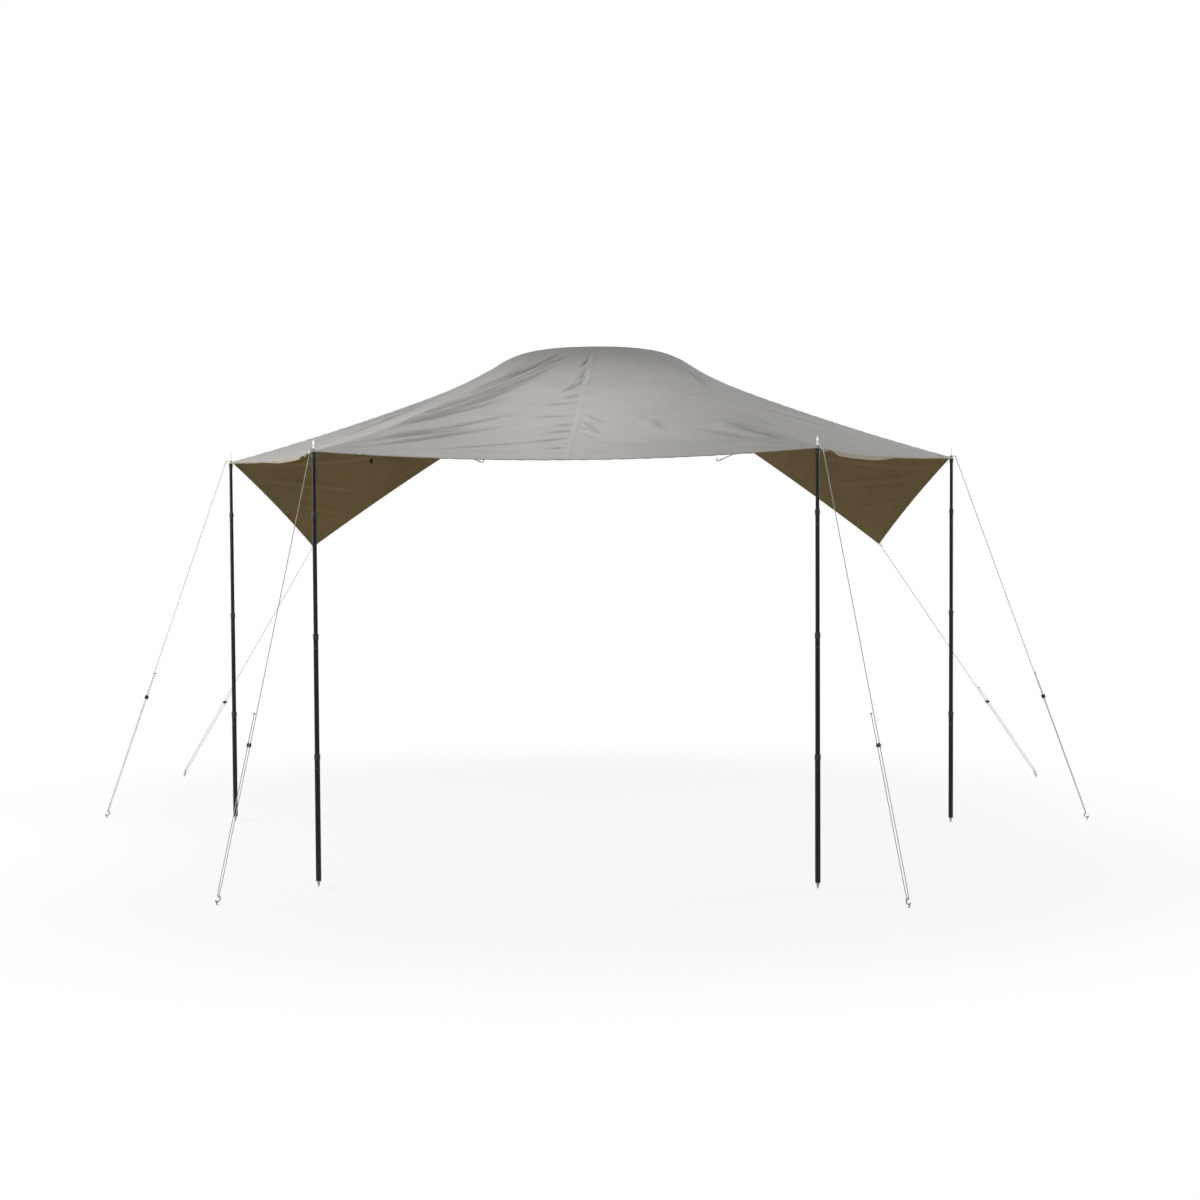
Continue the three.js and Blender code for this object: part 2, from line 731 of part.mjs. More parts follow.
function addPole(name, pin) {
  const pole = new THREE.Group();
  pole.position.set(pin.x, pin.y, 0);
  awning.add(pole);
  levelNames.forEach((level, i) => add(`${name}_pole_${level}`, tube(i), anodised, pole));
  mouths.forEach((_, i) => add(`${name}_button_${levelNames[i]}`, button(i), buttonSteel, pole));
  add(`${name}_pin`, pinAndPlug(), steel, pole);
  add(`${name}_foot_spike`, footSpike(), steel, pole);
}

function addLine(name, line, hook) {
  const { spine, points } = line;
  const route = strandPoints(spine, hook, points);
  add(`${name}_guyline`, swept(route, cordRadius, cordSides), lineCord);
  const slider = runner(spine, hook);
  const runnerMesh = add(`${name}_runner`, slider.geometry, runnerPlastic);
  runnerMesh.position.copy(slider.middle);
  runnerMesh.quaternion.setFromRotationMatrix(slider.turn);
  const pegMesh = add(`${name}_peg`, peg(), pegSteel);
  pegMesh.position.set(hook.x, hook.y, 0);
  pegMesh.rotation.z = Math.atan2(spine.level.y, spine.level.x);
}

for (const [side, sideName] of sideNames) {
  addPole(`front_${sideName}`, frontPin(side));
  addPole(`rear_${sideName}`, rearPin(side));
  const hooks = { front: pegPlace.front(side), rear: pegPlace.rear(side), wing: pegPlace.wing(side) };
  addLine(`front_${sideName}`, pinLine(frontPin(side), hooks.front), hooks.front);
  addLine(`rear_${sideName}`, pinLine(rearPin(side), hooks.rear), hooks.rear);
  addLine(`wing_${sideName}`, wingLine(side, hooks.wing), hooks.wing);
}

export default awning;
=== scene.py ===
# %% [markdown]
# # A stretched-cloth side awning
# The awning is one big sheet of coated cloth, held in the air by four telescopic poles, a bead along its
# arched rear edge and six guylines. This lesson dresses the imported CAD model: each piece is made again with
# finer shapes and a real finish, in metres, in the same frame as the CAD. The first cell loads that frame and
# keeps its box, which is written out beside the dressed model's box at the end.

# %% The imported frame
import json
import math

import bpy
import numpy as np
from mathutils import Matrix, Vector
from mathutils.bvhtree import BVHTree
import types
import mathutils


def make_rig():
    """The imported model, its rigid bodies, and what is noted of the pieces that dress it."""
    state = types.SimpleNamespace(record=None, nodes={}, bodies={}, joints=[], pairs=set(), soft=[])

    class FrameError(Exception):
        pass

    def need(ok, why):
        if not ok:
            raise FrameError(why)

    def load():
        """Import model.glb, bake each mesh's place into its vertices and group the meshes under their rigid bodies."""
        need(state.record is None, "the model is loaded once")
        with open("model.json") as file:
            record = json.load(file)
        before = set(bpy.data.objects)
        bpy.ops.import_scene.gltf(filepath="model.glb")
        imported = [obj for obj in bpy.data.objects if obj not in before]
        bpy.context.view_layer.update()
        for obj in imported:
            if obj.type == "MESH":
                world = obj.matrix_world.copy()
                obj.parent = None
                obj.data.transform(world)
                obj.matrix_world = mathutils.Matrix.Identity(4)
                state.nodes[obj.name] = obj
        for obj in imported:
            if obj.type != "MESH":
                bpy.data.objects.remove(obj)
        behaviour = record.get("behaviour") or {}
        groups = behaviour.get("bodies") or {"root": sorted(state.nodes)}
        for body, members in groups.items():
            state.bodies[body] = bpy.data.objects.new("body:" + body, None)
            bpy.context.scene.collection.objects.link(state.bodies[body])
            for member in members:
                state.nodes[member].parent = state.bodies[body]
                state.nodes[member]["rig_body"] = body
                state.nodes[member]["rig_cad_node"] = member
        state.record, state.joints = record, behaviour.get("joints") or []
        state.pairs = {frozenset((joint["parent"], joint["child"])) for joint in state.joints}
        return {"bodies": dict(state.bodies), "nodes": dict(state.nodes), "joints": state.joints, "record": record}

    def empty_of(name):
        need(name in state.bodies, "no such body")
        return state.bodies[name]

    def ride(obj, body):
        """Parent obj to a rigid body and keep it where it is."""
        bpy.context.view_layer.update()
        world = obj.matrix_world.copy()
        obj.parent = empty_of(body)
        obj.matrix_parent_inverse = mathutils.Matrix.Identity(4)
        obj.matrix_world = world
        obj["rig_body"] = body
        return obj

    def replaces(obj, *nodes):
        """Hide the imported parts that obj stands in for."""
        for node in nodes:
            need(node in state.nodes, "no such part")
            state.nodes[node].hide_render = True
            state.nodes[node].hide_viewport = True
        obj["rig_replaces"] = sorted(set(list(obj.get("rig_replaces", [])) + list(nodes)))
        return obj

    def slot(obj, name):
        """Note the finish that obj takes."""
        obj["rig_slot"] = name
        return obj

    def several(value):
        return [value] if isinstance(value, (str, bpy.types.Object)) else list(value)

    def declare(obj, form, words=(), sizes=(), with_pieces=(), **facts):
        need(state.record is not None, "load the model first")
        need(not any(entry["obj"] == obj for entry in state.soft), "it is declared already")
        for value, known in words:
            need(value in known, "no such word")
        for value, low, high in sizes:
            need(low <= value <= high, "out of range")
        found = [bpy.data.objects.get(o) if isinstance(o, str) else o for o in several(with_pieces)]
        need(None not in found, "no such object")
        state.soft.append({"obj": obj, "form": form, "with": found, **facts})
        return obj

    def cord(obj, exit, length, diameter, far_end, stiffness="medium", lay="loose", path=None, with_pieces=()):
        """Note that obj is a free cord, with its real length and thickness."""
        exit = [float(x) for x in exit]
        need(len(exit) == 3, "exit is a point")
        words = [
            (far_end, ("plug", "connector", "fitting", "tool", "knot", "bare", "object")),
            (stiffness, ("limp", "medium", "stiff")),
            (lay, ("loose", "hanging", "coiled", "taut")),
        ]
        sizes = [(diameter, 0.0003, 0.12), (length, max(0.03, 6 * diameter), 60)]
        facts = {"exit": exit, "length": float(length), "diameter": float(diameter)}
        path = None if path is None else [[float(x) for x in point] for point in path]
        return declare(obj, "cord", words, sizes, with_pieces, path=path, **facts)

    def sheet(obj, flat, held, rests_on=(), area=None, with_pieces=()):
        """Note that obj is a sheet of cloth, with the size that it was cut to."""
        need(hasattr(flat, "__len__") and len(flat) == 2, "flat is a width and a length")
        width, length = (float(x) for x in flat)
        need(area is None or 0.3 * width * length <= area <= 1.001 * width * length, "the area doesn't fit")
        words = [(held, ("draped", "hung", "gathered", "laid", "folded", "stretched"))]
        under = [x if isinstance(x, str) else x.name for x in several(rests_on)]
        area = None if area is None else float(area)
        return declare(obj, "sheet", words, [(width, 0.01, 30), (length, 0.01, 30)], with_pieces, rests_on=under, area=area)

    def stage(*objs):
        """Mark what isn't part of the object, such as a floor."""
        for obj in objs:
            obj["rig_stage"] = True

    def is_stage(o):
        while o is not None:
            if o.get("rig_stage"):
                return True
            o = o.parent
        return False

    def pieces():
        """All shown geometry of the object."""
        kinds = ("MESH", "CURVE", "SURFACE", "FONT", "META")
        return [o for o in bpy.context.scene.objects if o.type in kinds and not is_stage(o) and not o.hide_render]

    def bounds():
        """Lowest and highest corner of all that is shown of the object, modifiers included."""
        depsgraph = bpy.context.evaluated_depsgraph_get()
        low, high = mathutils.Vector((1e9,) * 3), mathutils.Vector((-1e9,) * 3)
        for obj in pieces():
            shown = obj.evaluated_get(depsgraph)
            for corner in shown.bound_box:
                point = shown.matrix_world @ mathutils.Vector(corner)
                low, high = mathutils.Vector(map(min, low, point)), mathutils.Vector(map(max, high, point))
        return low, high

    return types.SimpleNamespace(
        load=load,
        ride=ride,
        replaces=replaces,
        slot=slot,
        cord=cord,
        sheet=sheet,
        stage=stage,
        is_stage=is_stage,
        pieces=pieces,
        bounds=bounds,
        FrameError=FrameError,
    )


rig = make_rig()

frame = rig.load()
bpy.ops.object.select_all(action="DESELECT")
cad_box = [list(corner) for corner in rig.bounds()]
print("CAD box", cad_box)

# %% [markdown]
# ## The viewpoint
# The camera stands in front of the open side, a little to the right of its middle, at eye height. A long
# lens from far away keeps the poles upright and shows the roof at a flat angle, so that every fold counts.

# %% Camera
CAMERA_PLACE = (0.615, -10.763, 1.726)
CAMERA_TURN, CAMERA_TILT, CAMERA_ROLL = 2.851, -2.517, -0.326

scene = bpy.context.scene
camera_data = bpy.data.cameras.new("viewpoint")
camera_data.lens = 60
camera_data.sensor_width = 36
camera_data.clip_end = 200
camera = bpy.data.objects.new("viewpoint", camera_data)
scene.collection.objects.link(camera)
scene.camera = camera
camera.matrix_world = (
    Matrix.Translation(CAMERA_PLACE)
    @ Matrix.Rotation(math.radians(CAMERA_TURN), 4, "Z")
    @ Matrix.Rotation(math.radians(90 + CAMERA_TILT), 4, "X")
    @ Matrix.Rotation(math.radians(CAMERA_ROLL), 4, "Z")
)
print("camera at", tuple(camera.location))

# %% [markdown]
# ## The shape of the cloth
# A stretched sheet hangs between its edges, so the edges come first: each is a straight line that sags or
# bows a little, and the rear edge is a smooth arch. Between four edges the cloth is a blend of them, which
# is what a tight sheet does. The same curves, with the same values, shape the CAD solids.

# %% Edges and blended panels
UP = np.array([0.0, 0.0, 1.0])
SIDES = {"left": -1, "right": 1}


def place(x, y, z):
    return np.array([x, y, z], float)


def unit(vector):
    return vector / np.linalg.norm(vector)


def level_unit(vector):
    return unit(vector * (1, 1, 0))


def towards(start, end, length):
    return unit(end - start) * length


FRONT_Y = -1.6427004
ARCH_Y = FRONT_Y + 3.291
CLOTH_HEIGHT = 2.015
HEM_DROP, HEM_OVERHANG = 0.004, 0.015
cloth_middle = place(0, (FRONT_Y + ARCH_Y) / 2, CLOTH_HEIGHT)


def front_pin(side):
    return place(side * 1.151, FRONT_Y, CLOTH_HEIGHT)


def rear_pin(side):
    return place(side * 1.999, FRONT_Y + 1.965, CLOTH_HEIGHT)


def overhung(pin):
    return pin - UP * HEM_DROP + level_unit(pin - cloth_middle) * HEM_OVERHANG


def wing_corner(side):
    return place(side * 1.659, FRONT_Y + 2.579, 1.531)


def tie_corner(side):
    return place(side * 0.915, ARCH_Y, 2.112)


def bowed(start, end, offset):
    def curve(share):
        t = np.asarray(share, float)[..., None]
        return start + (end - start) * t + offset * (4 * t * (1 - t))
    return curve


def through(knots, steps=40):
    """A smooth line through the knots, with even bends whatever their spacing."""
    ends = np.vstack([2 * knots[0] - knots[1], knots, 2 * knots[-1] - knots[-2]])
    line = []
    for before, start, end, after in zip(ends, ends[1:], ends[2:], ends[3:]):
        gaps = [np.linalg.norm(b - a) ** 0.5 for a, b in ((before, start), (start, end), (end, after))]
        leave = (start - before) / gaps[0] - (end - before) / (gaps[0] + gaps[1]) + (end - start) / gaps[1]
        arrive = (end - start) / gaps[1] - (after - start) / (gaps[1] + gaps[2]) + (after - end) / gaps[2]
        t = (np.arange(steps) / steps)[:, None]
        line.append(
            (2 * t**3 - 3 * t**2 + 1) * start + (t**3 - 2 * t**2 + t) * leave * gaps[1]
            + (-2 * t**3 + 3 * t**2) * end + (t**3 - t**2) * arrive * gaps[1]
        )
    return np.vstack([*line, knots[-1:]])


def runs(line):
    return np.concatenate([[0], np.cumsum(np.linalg.norm(np.diff(line, axis=0), axis=1))])


def along(line, distances):
    at = runs(line)
    return np.stack([np.interp(distances, at, line[:, axis]) for axis in range(3)], -1)


ARCH_SHARES = [[0, 1], [0.325, 0.956], [0.56, 0.825], [0.715, 0.62], [0.857, 0.316], [1, 0]]
ARCH_RIDGE_SHARE = 0.43
ARCH_HALF_WIDTH, ARCH_SHIFT = 0.740, 0.040
ARCH_FOOT_HEIGHT, ARCH_RISE = 2.540, 0.206


def arch_side(side):
    return [place(side * across * ARCH_HALF_WIDTH - ARCH_SHIFT, ARCH_Y, ARCH_FOOT_HEIGHT + rise * ARCH_RISE)
            for across, rise in ARCH_SHARES]


arch_line = through(np.array(arch_side(-1)[::-1] + arch_side(1)[1:]))


def arch_at(side, share):
    return along(arch_line, (0.5 + side * np.asarray(share, float) / 2) * runs(arch_line)[-1])


# How far each edge bows inwards or to the side, and how far it sags
SIDE_HEM_BOW, SIDE_HEM_SAG = 0.060, 0.016
FRONT_HEM_BOW, FRONT_HEM_SAG = 0.050, 0.046
SEAM_SHIFT, SEAM_SAG = 0.014, 0.090
FRONT_RIDGE_SAG, WING_RIDGE_SAG = 0.068, 0.020


def side_hem(side):
    start, end = overhung(front_pin(side)), overhung(rear_pin(side))
    inwards = towards((start + end) / 2, cloth_middle, SIDE_HEM_BOW)
    inwards[2] = -SIDE_HEM_SAG
    return bowed(start, end, inwards)


front_hem = bowed(overhung(front_pin(-1)), overhung(front_pin(1)), place(0, FRONT_HEM_BOW, -FRONT_HEM_SAG))
seam = bowed(front_hem(0.5), arch_at(1, 0), place(-SEAM_SHIFT, 0, -SEAM_SAG))


def front_ridge(side):
    return bowed(overhung(front_pin(side)), arch_at(side, ARCH_RIDGE_SHARE), place(0, 0, -FRONT_RIDGE_SAG))


def wing_ridge(side):
    return bowed(overhung(rear_pin(side)), arch_at(side, 1), place(0, 0, -WING_RIDGE_SAG))


def blended(near, far, left, right):
    """The surface between four edges that meet at their ends."""
    corners = [near(0.0), near(1.0), far(0.0), far(1.0)]

    def surface(u, v):
        u, v = np.broadcast_arrays(np.asarray(u, float), np.asarray(v, float))
        across, up_sheet = u[..., None], v[..., None]
        flat = (corners[0] * (1 - across) + corners[1] * across) * (1 - up_sheet)
        flat = flat + (corners[2] * (1 - across) + corners[3] * across) * up_sheet
        return (near(u) * (1 - up_sheet) + far(u) * up_sheet
                + left(v) * (1 - across) + right(v) * across - flat)
    return surface


def front_panel(side):
    return blended(
        lambda u: front_hem(0.5 + side * u / 2), lambda u: arch_at(side, u * ARCH_RIDGE_SHARE),
        seam, front_ridge(side))


def side_panel(side):
    return blended(
        side_hem(side), lambda u: arch_at(side, ARCH_RIDGE_SHARE + u * (1 - ARCH_RIDGE_SHARE)),
        front_ridge(side), wing_ridge(side))


CLOTH_THICKNESS = 0.0012
WING_GAP = 0.0004
WING_START, WING_BOW = 0.024, 0.014
EYELET_INSET = 0.009


def wing_surface(side):
    ridge = wing_ridge(side)
    start = WING_START / np.linalg.norm(ridge(1.0) - ridge(0.0))
    corner, tie = wing_corner(side), tie_corner(side)

    def hung(share):
        share = np.asarray(share, float)
        top = ridge(start + share * (1 - start))
        down = corner * (1 - share[..., None]) + tie * share[..., None] - top
        down = down / np.linalg.norm(down, axis=-1, keepdims=True)
        return top + down * (CLOTH_THICKNESS / 2 + WING_GAP)

    middle = (corner + hung(0.5)) / 2
    outer_middle, rear_middle = (hung(0.0) + corner) / 2, (corner + tie) / 2
    return blended(
        bowed(hung(0.0), corner, towards(outer_middle, middle, WING_BOW)),
        bowed(hung(1.0), tie, place(0, 0, 0)),
        hung, bowed(corner, tie, towards(rear_middle, middle, WING_BOW)))


def wing_normal(side, u, v):
    surface, step = wing_surface(side), 0.05
    du, dv = [-step if share > 0.5 else step for share in (u, v)]
    across = (surface(u + du, v) - surface(u, v)) / du
    return unit(np.cross(across, (surface(u, v + dv) - surface(u, v)) / dv))


def inset(corner, first, second):
    inwards = towards(corner, first, 1) + towards(corner, second, 1)
    return corner + unit(inwards) * EYELET_INSET


def wing_eyelet(side):
    return inset(wing_corner(side), wing_surface(side)(0, 0), tie_corner(side))


def tie_eyelet(side):
    return inset(tie_corner(side), wing_corner(side), wing_surface(side)(0, 1))


print("front hem middle", front_hem(0.5).round(3), "wing corner eye", wing_eyelet(1).round(3))

# %% [markdown]
# ## Cords first
# A guyline is one braided cord. It starts in a small eye round the pole's pin, or through the eye of a
# wing's corner, runs straight down to the peg, turns round the hook, and comes back up through the runner to
# a short tail with a knot. It is taut, so its way is straight between its turns. A tube with its own map,
# round and along the cord, lets the braid follow every bend.

# %% A helper that gives a cord its tube
CORD_RADIUS = 0.0019
PEG_WIRE_RADIUS = 0.003
HOOK_RADIUS = 0.013
HOOK_HEIGHT = 0.028
STRAND_HALF_SPACING = 0.008
SEAT_GAP = 0.0003


def mesh_object(name, vertices, faces):
    mesh = bpy.data.meshes.new(name)
    mesh.from_pydata([tuple(v) for v in vertices], [], faces)
    made = bpy.data.objects.new(name, mesh)
    scene.collection.objects.link(made)
    return made


def carried_frames(points):
    """Two cross directions at each point, carried along the line without twisting."""
    ways = np.gradient(points, axis=0)
    steps = np.diff(points, axis=0)
    steps = steps / np.linalg.norm(steps, axis=1, keepdims=True)
    ways[0], ways[-1] = steps[0], steps[-1]
    ways[1:-1] = steps[:-1] + steps[1:]
    ways = ways / np.linalg.norm(ways, axis=1, keepdims=True)
    first = np.cross(ways[0], UP if abs(ways[0][2]) < 0.9 else place(1, 0, 0))
    sides = [unit(first)]
    for way in ways[1:]:
        sides.append(unit(sides[-1] - way * (sides[-1] @ way)))
    sides = np.array(sides)
    return ways, sides, np.cross(ways, sides)


def tube(name, points, radius, around=12):
    """A closed tube with round ends. Its map is 0 to 1 round it and in metres along it."""
    points = np.asarray(points, float)
    way_in, way_out = unit(points[1] - points[0]), unit(points[-1] - points[-2])
    caps = [(0.0, 0.35), (0.3, 0.72), (0.65, 0.94)]
    head = [points[0] + way_in * radius * far for far, _ in caps]
    tail = [points[-1] - way_out * radius * far for far, _ in reversed(caps)]
    points = np.vstack([
        head, points[0] + way_in * radius, points[1:-1], points[-1] - way_out * radius, tail])
    shares = [share for _, share in caps]
    radii = np.concatenate([shares, np.ones(len(points) - 2 * len(caps)), shares[::-1]]) * radius
    ways, sides, others = carried_frames(points)
    turn = 2 * math.pi * np.arange(around) / around
    rings = (points[:, None] + radii[:, None, None]
             * (np.cos(turn)[None, :, None] * sides[:, None] + np.sin(turn)[None, :, None] * others[:, None]))
    count = len(points)
    vertices = np.vstack([rings.reshape(-1, 3), points[:1], points[-1:]])
    faces, uvs, run = [], [], runs(points)
    for ring in range(count - 1):
        for i in range(around):
            j = (i + 1) % around
            low_ring, high_ring = ring * around, (ring + 1) * around
            faces.append((low_ring + i, low_ring + j, high_ring + j, high_ring + i))
            low, high = run[ring], run[ring + 1]
            uvs += [(i / around, low), ((i + 1) / around, low), ((i + 1) / around, high), (i / around, high)]
    for ring, hub, flip in ((0, count * around, 1), (count - 1, count * around + 1, -1)):
        for i in range(around):
            pair = [ring * around + i, ring * around + (i + 1) % around]
            faces.append((hub, *pair[::-flip]))
            uvs += [((i + 0.5) / around, run[ring])] * 3
    made = mesh_object(name, vertices, faces)
    layer = made.data.uv_layers.new(name="along")
    layer.data.foreach_set("uv", np.array(uvs).ravel())
    made.data.shade_smooth()
    return made


print("tube helper ready")

# %% The routes of the guylines
PEG_PLACES = {
    "front": lambda side: place(side * 1.517, FRONT_Y - 0.440, HOOK_HEIGHT),
    "rear": lambda side: place(side * 2.763, FRONT_Y + 2.071, HOOK_HEIGHT),
    "wing": lambda side: place(side * 2.779, FRONT_Y + 3.851, HOOK_HEIGHT),
}
EYE_TURN = np.radians(np.linspace(70, 270, 25))
EYE_RADIUS, EYE_HEIGHT, END_GAP = 0.008, 0.006, 0.0047
KNEE_REACH, KNEE_RADIUS = 0.024, 0.009
FLARE_LENGTH, TAIL_LENGTH = 0.060, 0.147


def line_spine(top, hook):
    rise = towards(hook, top, 1)
    level = level_unit(rise)
    return {"rise": rise, "level": level, "aside": place(-level[1], level[0], 0),
            "length": np.linalg.norm(top - hook)}


def strands(spine, hook, from_top):
    """Down one side, round the peg's wire, and up the other side to the tail."""
    def at(distance, across):
        return hook + spine["rise"] * distance + spine["aside"] * across
    hugging = PEG_WIRE_RADIUS + CORD_RADIUS + SEAT_GAP
    loop = [at(HOOK_RADIUS - hugging * math.sin(a), -hugging * math.cos(a))
            for a in np.linspace(0, math.pi, 17)]
    flare, third = HOOK_RADIUS + FLARE_LENGTH, spine["length"] / 3
    return np.array([
        *from_top, at(flare, -STRAND_HALF_SPACING), *loop, at(flare, STRAND_HALF_SPACING),
        at(third, STRAND_HALF_SPACING), at(third + TAIL_LENGTH, STRAND_HALF_SPACING)])


def pin_line(pin, hook):
    centre = pin + UP * (EYE_HEIGHT + SEAT_GAP + CORD_RADIUS)
    out = level_unit(hook - centre)
    knee = centre + out * KNEE_REACH
    spine = line_spine(knee, hook)
    aside = spine["aside"]
    drop = math.acos(spine["rise"] @ -out)
    tangent = KNEE_RADIUS * math.tan(drop / 2)

    def bend(across):
        return [knee + out * (KNEE_RADIUS * math.sin(drop * t) - tangent)
                + UP * KNEE_RADIUS * (math.cos(drop * t) - 1) + aside * across(t)
                for t in np.linspace(0, 1, 9)]
    standing = -STRAND_HALF_SPACING
    end = knee - spine["rise"] * (tangent + 0.014) + aside * (standing + END_GAP)
    end_bend = bend(lambda t: (standing + END_GAP) * (0.4 + 0.6 * t))
    turn = [centre + out * EYE_RADIUS * math.cos(a) + aside * EYE_RADIUS * math.sin(a) for a in EYE_TURN]
    return spine, [end, *end_bend[::-1], *turn, *bend(lambda t: standing)]


def wing_line(side, hook):
    hole = wing_eyelet(side)
    top = hole + line_spine(hole, hook)["aside"] * STRAND_HALF_SPACING
    spine = line_spine(top, hook)
    out = -spine["rise"]
    through_cloth = wing_normal(side, 1, 0)
    aside = unit(through_cloth - out * (through_cloth @ out))

    def at(distance, across):
        return hole + out * distance + aside * across
    turn = [at(EYE_RADIUS + EYE_RADIUS * math.cos(a), EYE_RADIUS * math.sin(a)) for a in EYE_TURN]
    return spine, [at(0.035, END_GAP), at(0.026, END_GAP), *turn, at(0.035, 0)]


lines = {}
for side_name, side in SIDES.items():
    for kind in ("front", "rear", "wing"):
        hook = PEG_PLACES[kind](side)
        spine, top = {
            "front": lambda: pin_line(front_pin(side), hook),
            "rear": lambda: pin_line(rear_pin(side), hook),
            "wing": lambda: wing_line(side, hook),
        }[kind]()
        route = strands(spine, hook, top)
        piece = tube(f"{kind}_{side_name}_braided_line", route, CORD_RADIUS)
        lines[f"{kind}_{side_name}"] = {"spine": spine, "hook": hook, "route": route, "cord": piece}
        print(piece.name, "is", round(runs(route)[-1], 3), "m long")

# %% [markdown]
# ## The roof cloth
# The roof is one sheet, so it is made as one grid of points that runs from the hems up to the arch. Rows near
# the hems and columns beside the seam and the wing ridges keep a fixed distance from their edge, as a sewn
# allowance does. Folds are added along the sheet's own normals, before the sheet gets its thickness: a long
# fold is a ridge with a shallow valley beside it, which fades out at both ends.

# %% Folds across the roof
# Each fold: its two ends in plan (x, y), its half width and its height, in metres.
TENSION_FOLDS = [
    ((-0.22, 1.46), (-1.08, -0.84), 0.019, 0.0150), ((-0.27, 1.22), (-0.99, -0.82), 0.020, 0.0125),
    ((-0.25, 1.52), (-0.64, 0.50), 0.015, 0.0120), ((-0.20, 1.45), (-0.55, 0.84), 0.013, 0.0085),
    ((-0.29, 1.16), (-0.70, 0.08), 0.014, 0.0105), ((-0.34, 0.92), (-0.78, -0.30), 0.016, 0.0085),
    ((-0.39, -0.08), (-1.02, -1.22), 0.018, 0.0095), ((-0.44, -0.46), (-0.96, -1.34), 0.015, 0.0065),
    ((-0.33, -0.36), (-0.90, -1.22), 0.015, 0.0060), ((-0.05, -1.27), (-0.58, -1.31), 0.012, 0.0036),
    ((-0.48, 0.30), (-0.96, -0.62), 0.022, 0.0100), ((-0.90, 1.14), (-1.58, 0.62), 0.018, 0.0085),
    ((-0.88, 0.94), (-1.42, 0.05), 0.020, 0.0105), ((-0.56, -0.55), (-0.99, -1.06), 0.024, 0.0085),
    ((-0.11, -0.82), (-0.70, -1.34), 0.018, 0.0050), ((-0.30, 1.38), (-0.82, 0.20), 0.013, 0.0085),
    ((0.69, -0.51), (0.86, -0.85), 0.030, 0.0080), ((0.72, -0.67), (0.99, -1.33), 0.034, 0.0100),
    ((0.78, 0.01), (0.97, -0.57), 0.034, 0.0090), ((0.33, -0.30), (0.40, -0.63), 0.030, 0.0060),
    ((0.48, 1.30), (0.62, 0.62), 0.036, 0.0060), ((1.42, 0.62), (0.86, 0.60), 0.040, 0.0056),
    ((0.30, 1.42), (0.70, 0.86), 0.032, 0.0060), ((1.02, -1.30), (0.62, -0.60), 0.030, 0.0067),
    ((0.10, -1.30), (0.78, -1.26), 0.012, 0.0030), ((0.06, -1.42), (0.86, -1.40), 0.011, 0.0026),
    ((0.30, -1.18), (0.95, -1.20), 0.013, 0.0028), ((0.16, -1.04), (0.62, -1.10), 0.012, 0.0028),
    ((-0.84, -1.40), (-0.20, -1.34), 0.013, 0.0034), ((-0.78, -1.20), (-0.30, -1.12), 0.014, 0.0036),
    ((-0.95, -1.46), (-0.35, -1.47), 0.011, 0.0026), ((0.55, -0.92), (0.92, -1.02), 0.014, 0.0030),
]
SEAM_PUCKERS = [
    ((-0.08, 0.83), (-0.18, 0.53)), ((-0.07, 1.05), (-0.11, 0.85)), ((-0.05, 0.29), (-0.25, 0.17)),
    ((-0.04, -0.07), (-0.29, -0.17)), ((-0.04, -0.31), (-0.15, -0.41)), ((-0.02, -0.74), (-0.22, -0.94)),
    ((-0.02, -1.09), (-0.14, -1.17)), ((-0.06, 1.38), (-0.12, 1.18)), ((-0.04, 0.52), (-0.16, 0.38)),
    ((-0.03, -0.52), (-0.17, -0.62)), ((-0.05, 1.23), (-0.01, 1.53)), ((-0.04, 0.98), (0.00, 1.18)),
    ((-0.04, 0.73), (-0.01, 0.99)), ((-0.03, 0.48), (0.03, 0.55)), ((-0.02, 0.21), (0.08, 0.14)),
    ((-0.01, -0.07), (0.11, -0.36)), ((-0.01, -0.27), (0.09, -0.60)), ((0.01, -0.68), (0.08, -0.82)),
    ((0.06, -0.92), (0.28, -1.15)), ((0.01, -1.12), (0.15, -1.34)), ((-0.01, -0.46), (0.12, -0.70)),
]

# A fold fades out over this share of its length beyond each end. A valley is marked in full from the full
# height on, and the cloth's finish reads the mark.
FOLD_FADE = 0.12
FULL_FOLD_HEIGHT = 0.009
CORNER_FOLDS, BROAD_FOLDS = 6, 26


def fold_shape(x, y, start, end, half_width, height):
    """How far a fold lifts the cloth at each point, and how deep that point lies in the valley beside it."""
    start, end = np.array(start), np.array(end)
    way = end - start
    length = math.hypot(*way)
    way = way / length
    run = ((x - start[0]) * way[0] + (y - start[1]) * way[1]) / length
    off = -(x - start[0]) * way[1] + (y - start[1]) * way[0]
    inside = np.clip(run, -FOLD_FADE, 1 + FOLD_FADE)
    taper = np.clip(np.sin(math.pi * (inside + FOLD_FADE) / (1 + 2 * FOLD_FADE)), 0, 1) ** 1.3
    valley = np.exp(-((off - 1.5 * half_width) / (0.8 * half_width)) ** 2) * taper
    ridge = np.exp(-(off / half_width) ** 2) * taper
    return np.array([height * (ridge - 0.5 * valley), valley * np.clip(height / FULL_FOLD_HEIGHT, 0, 1)])


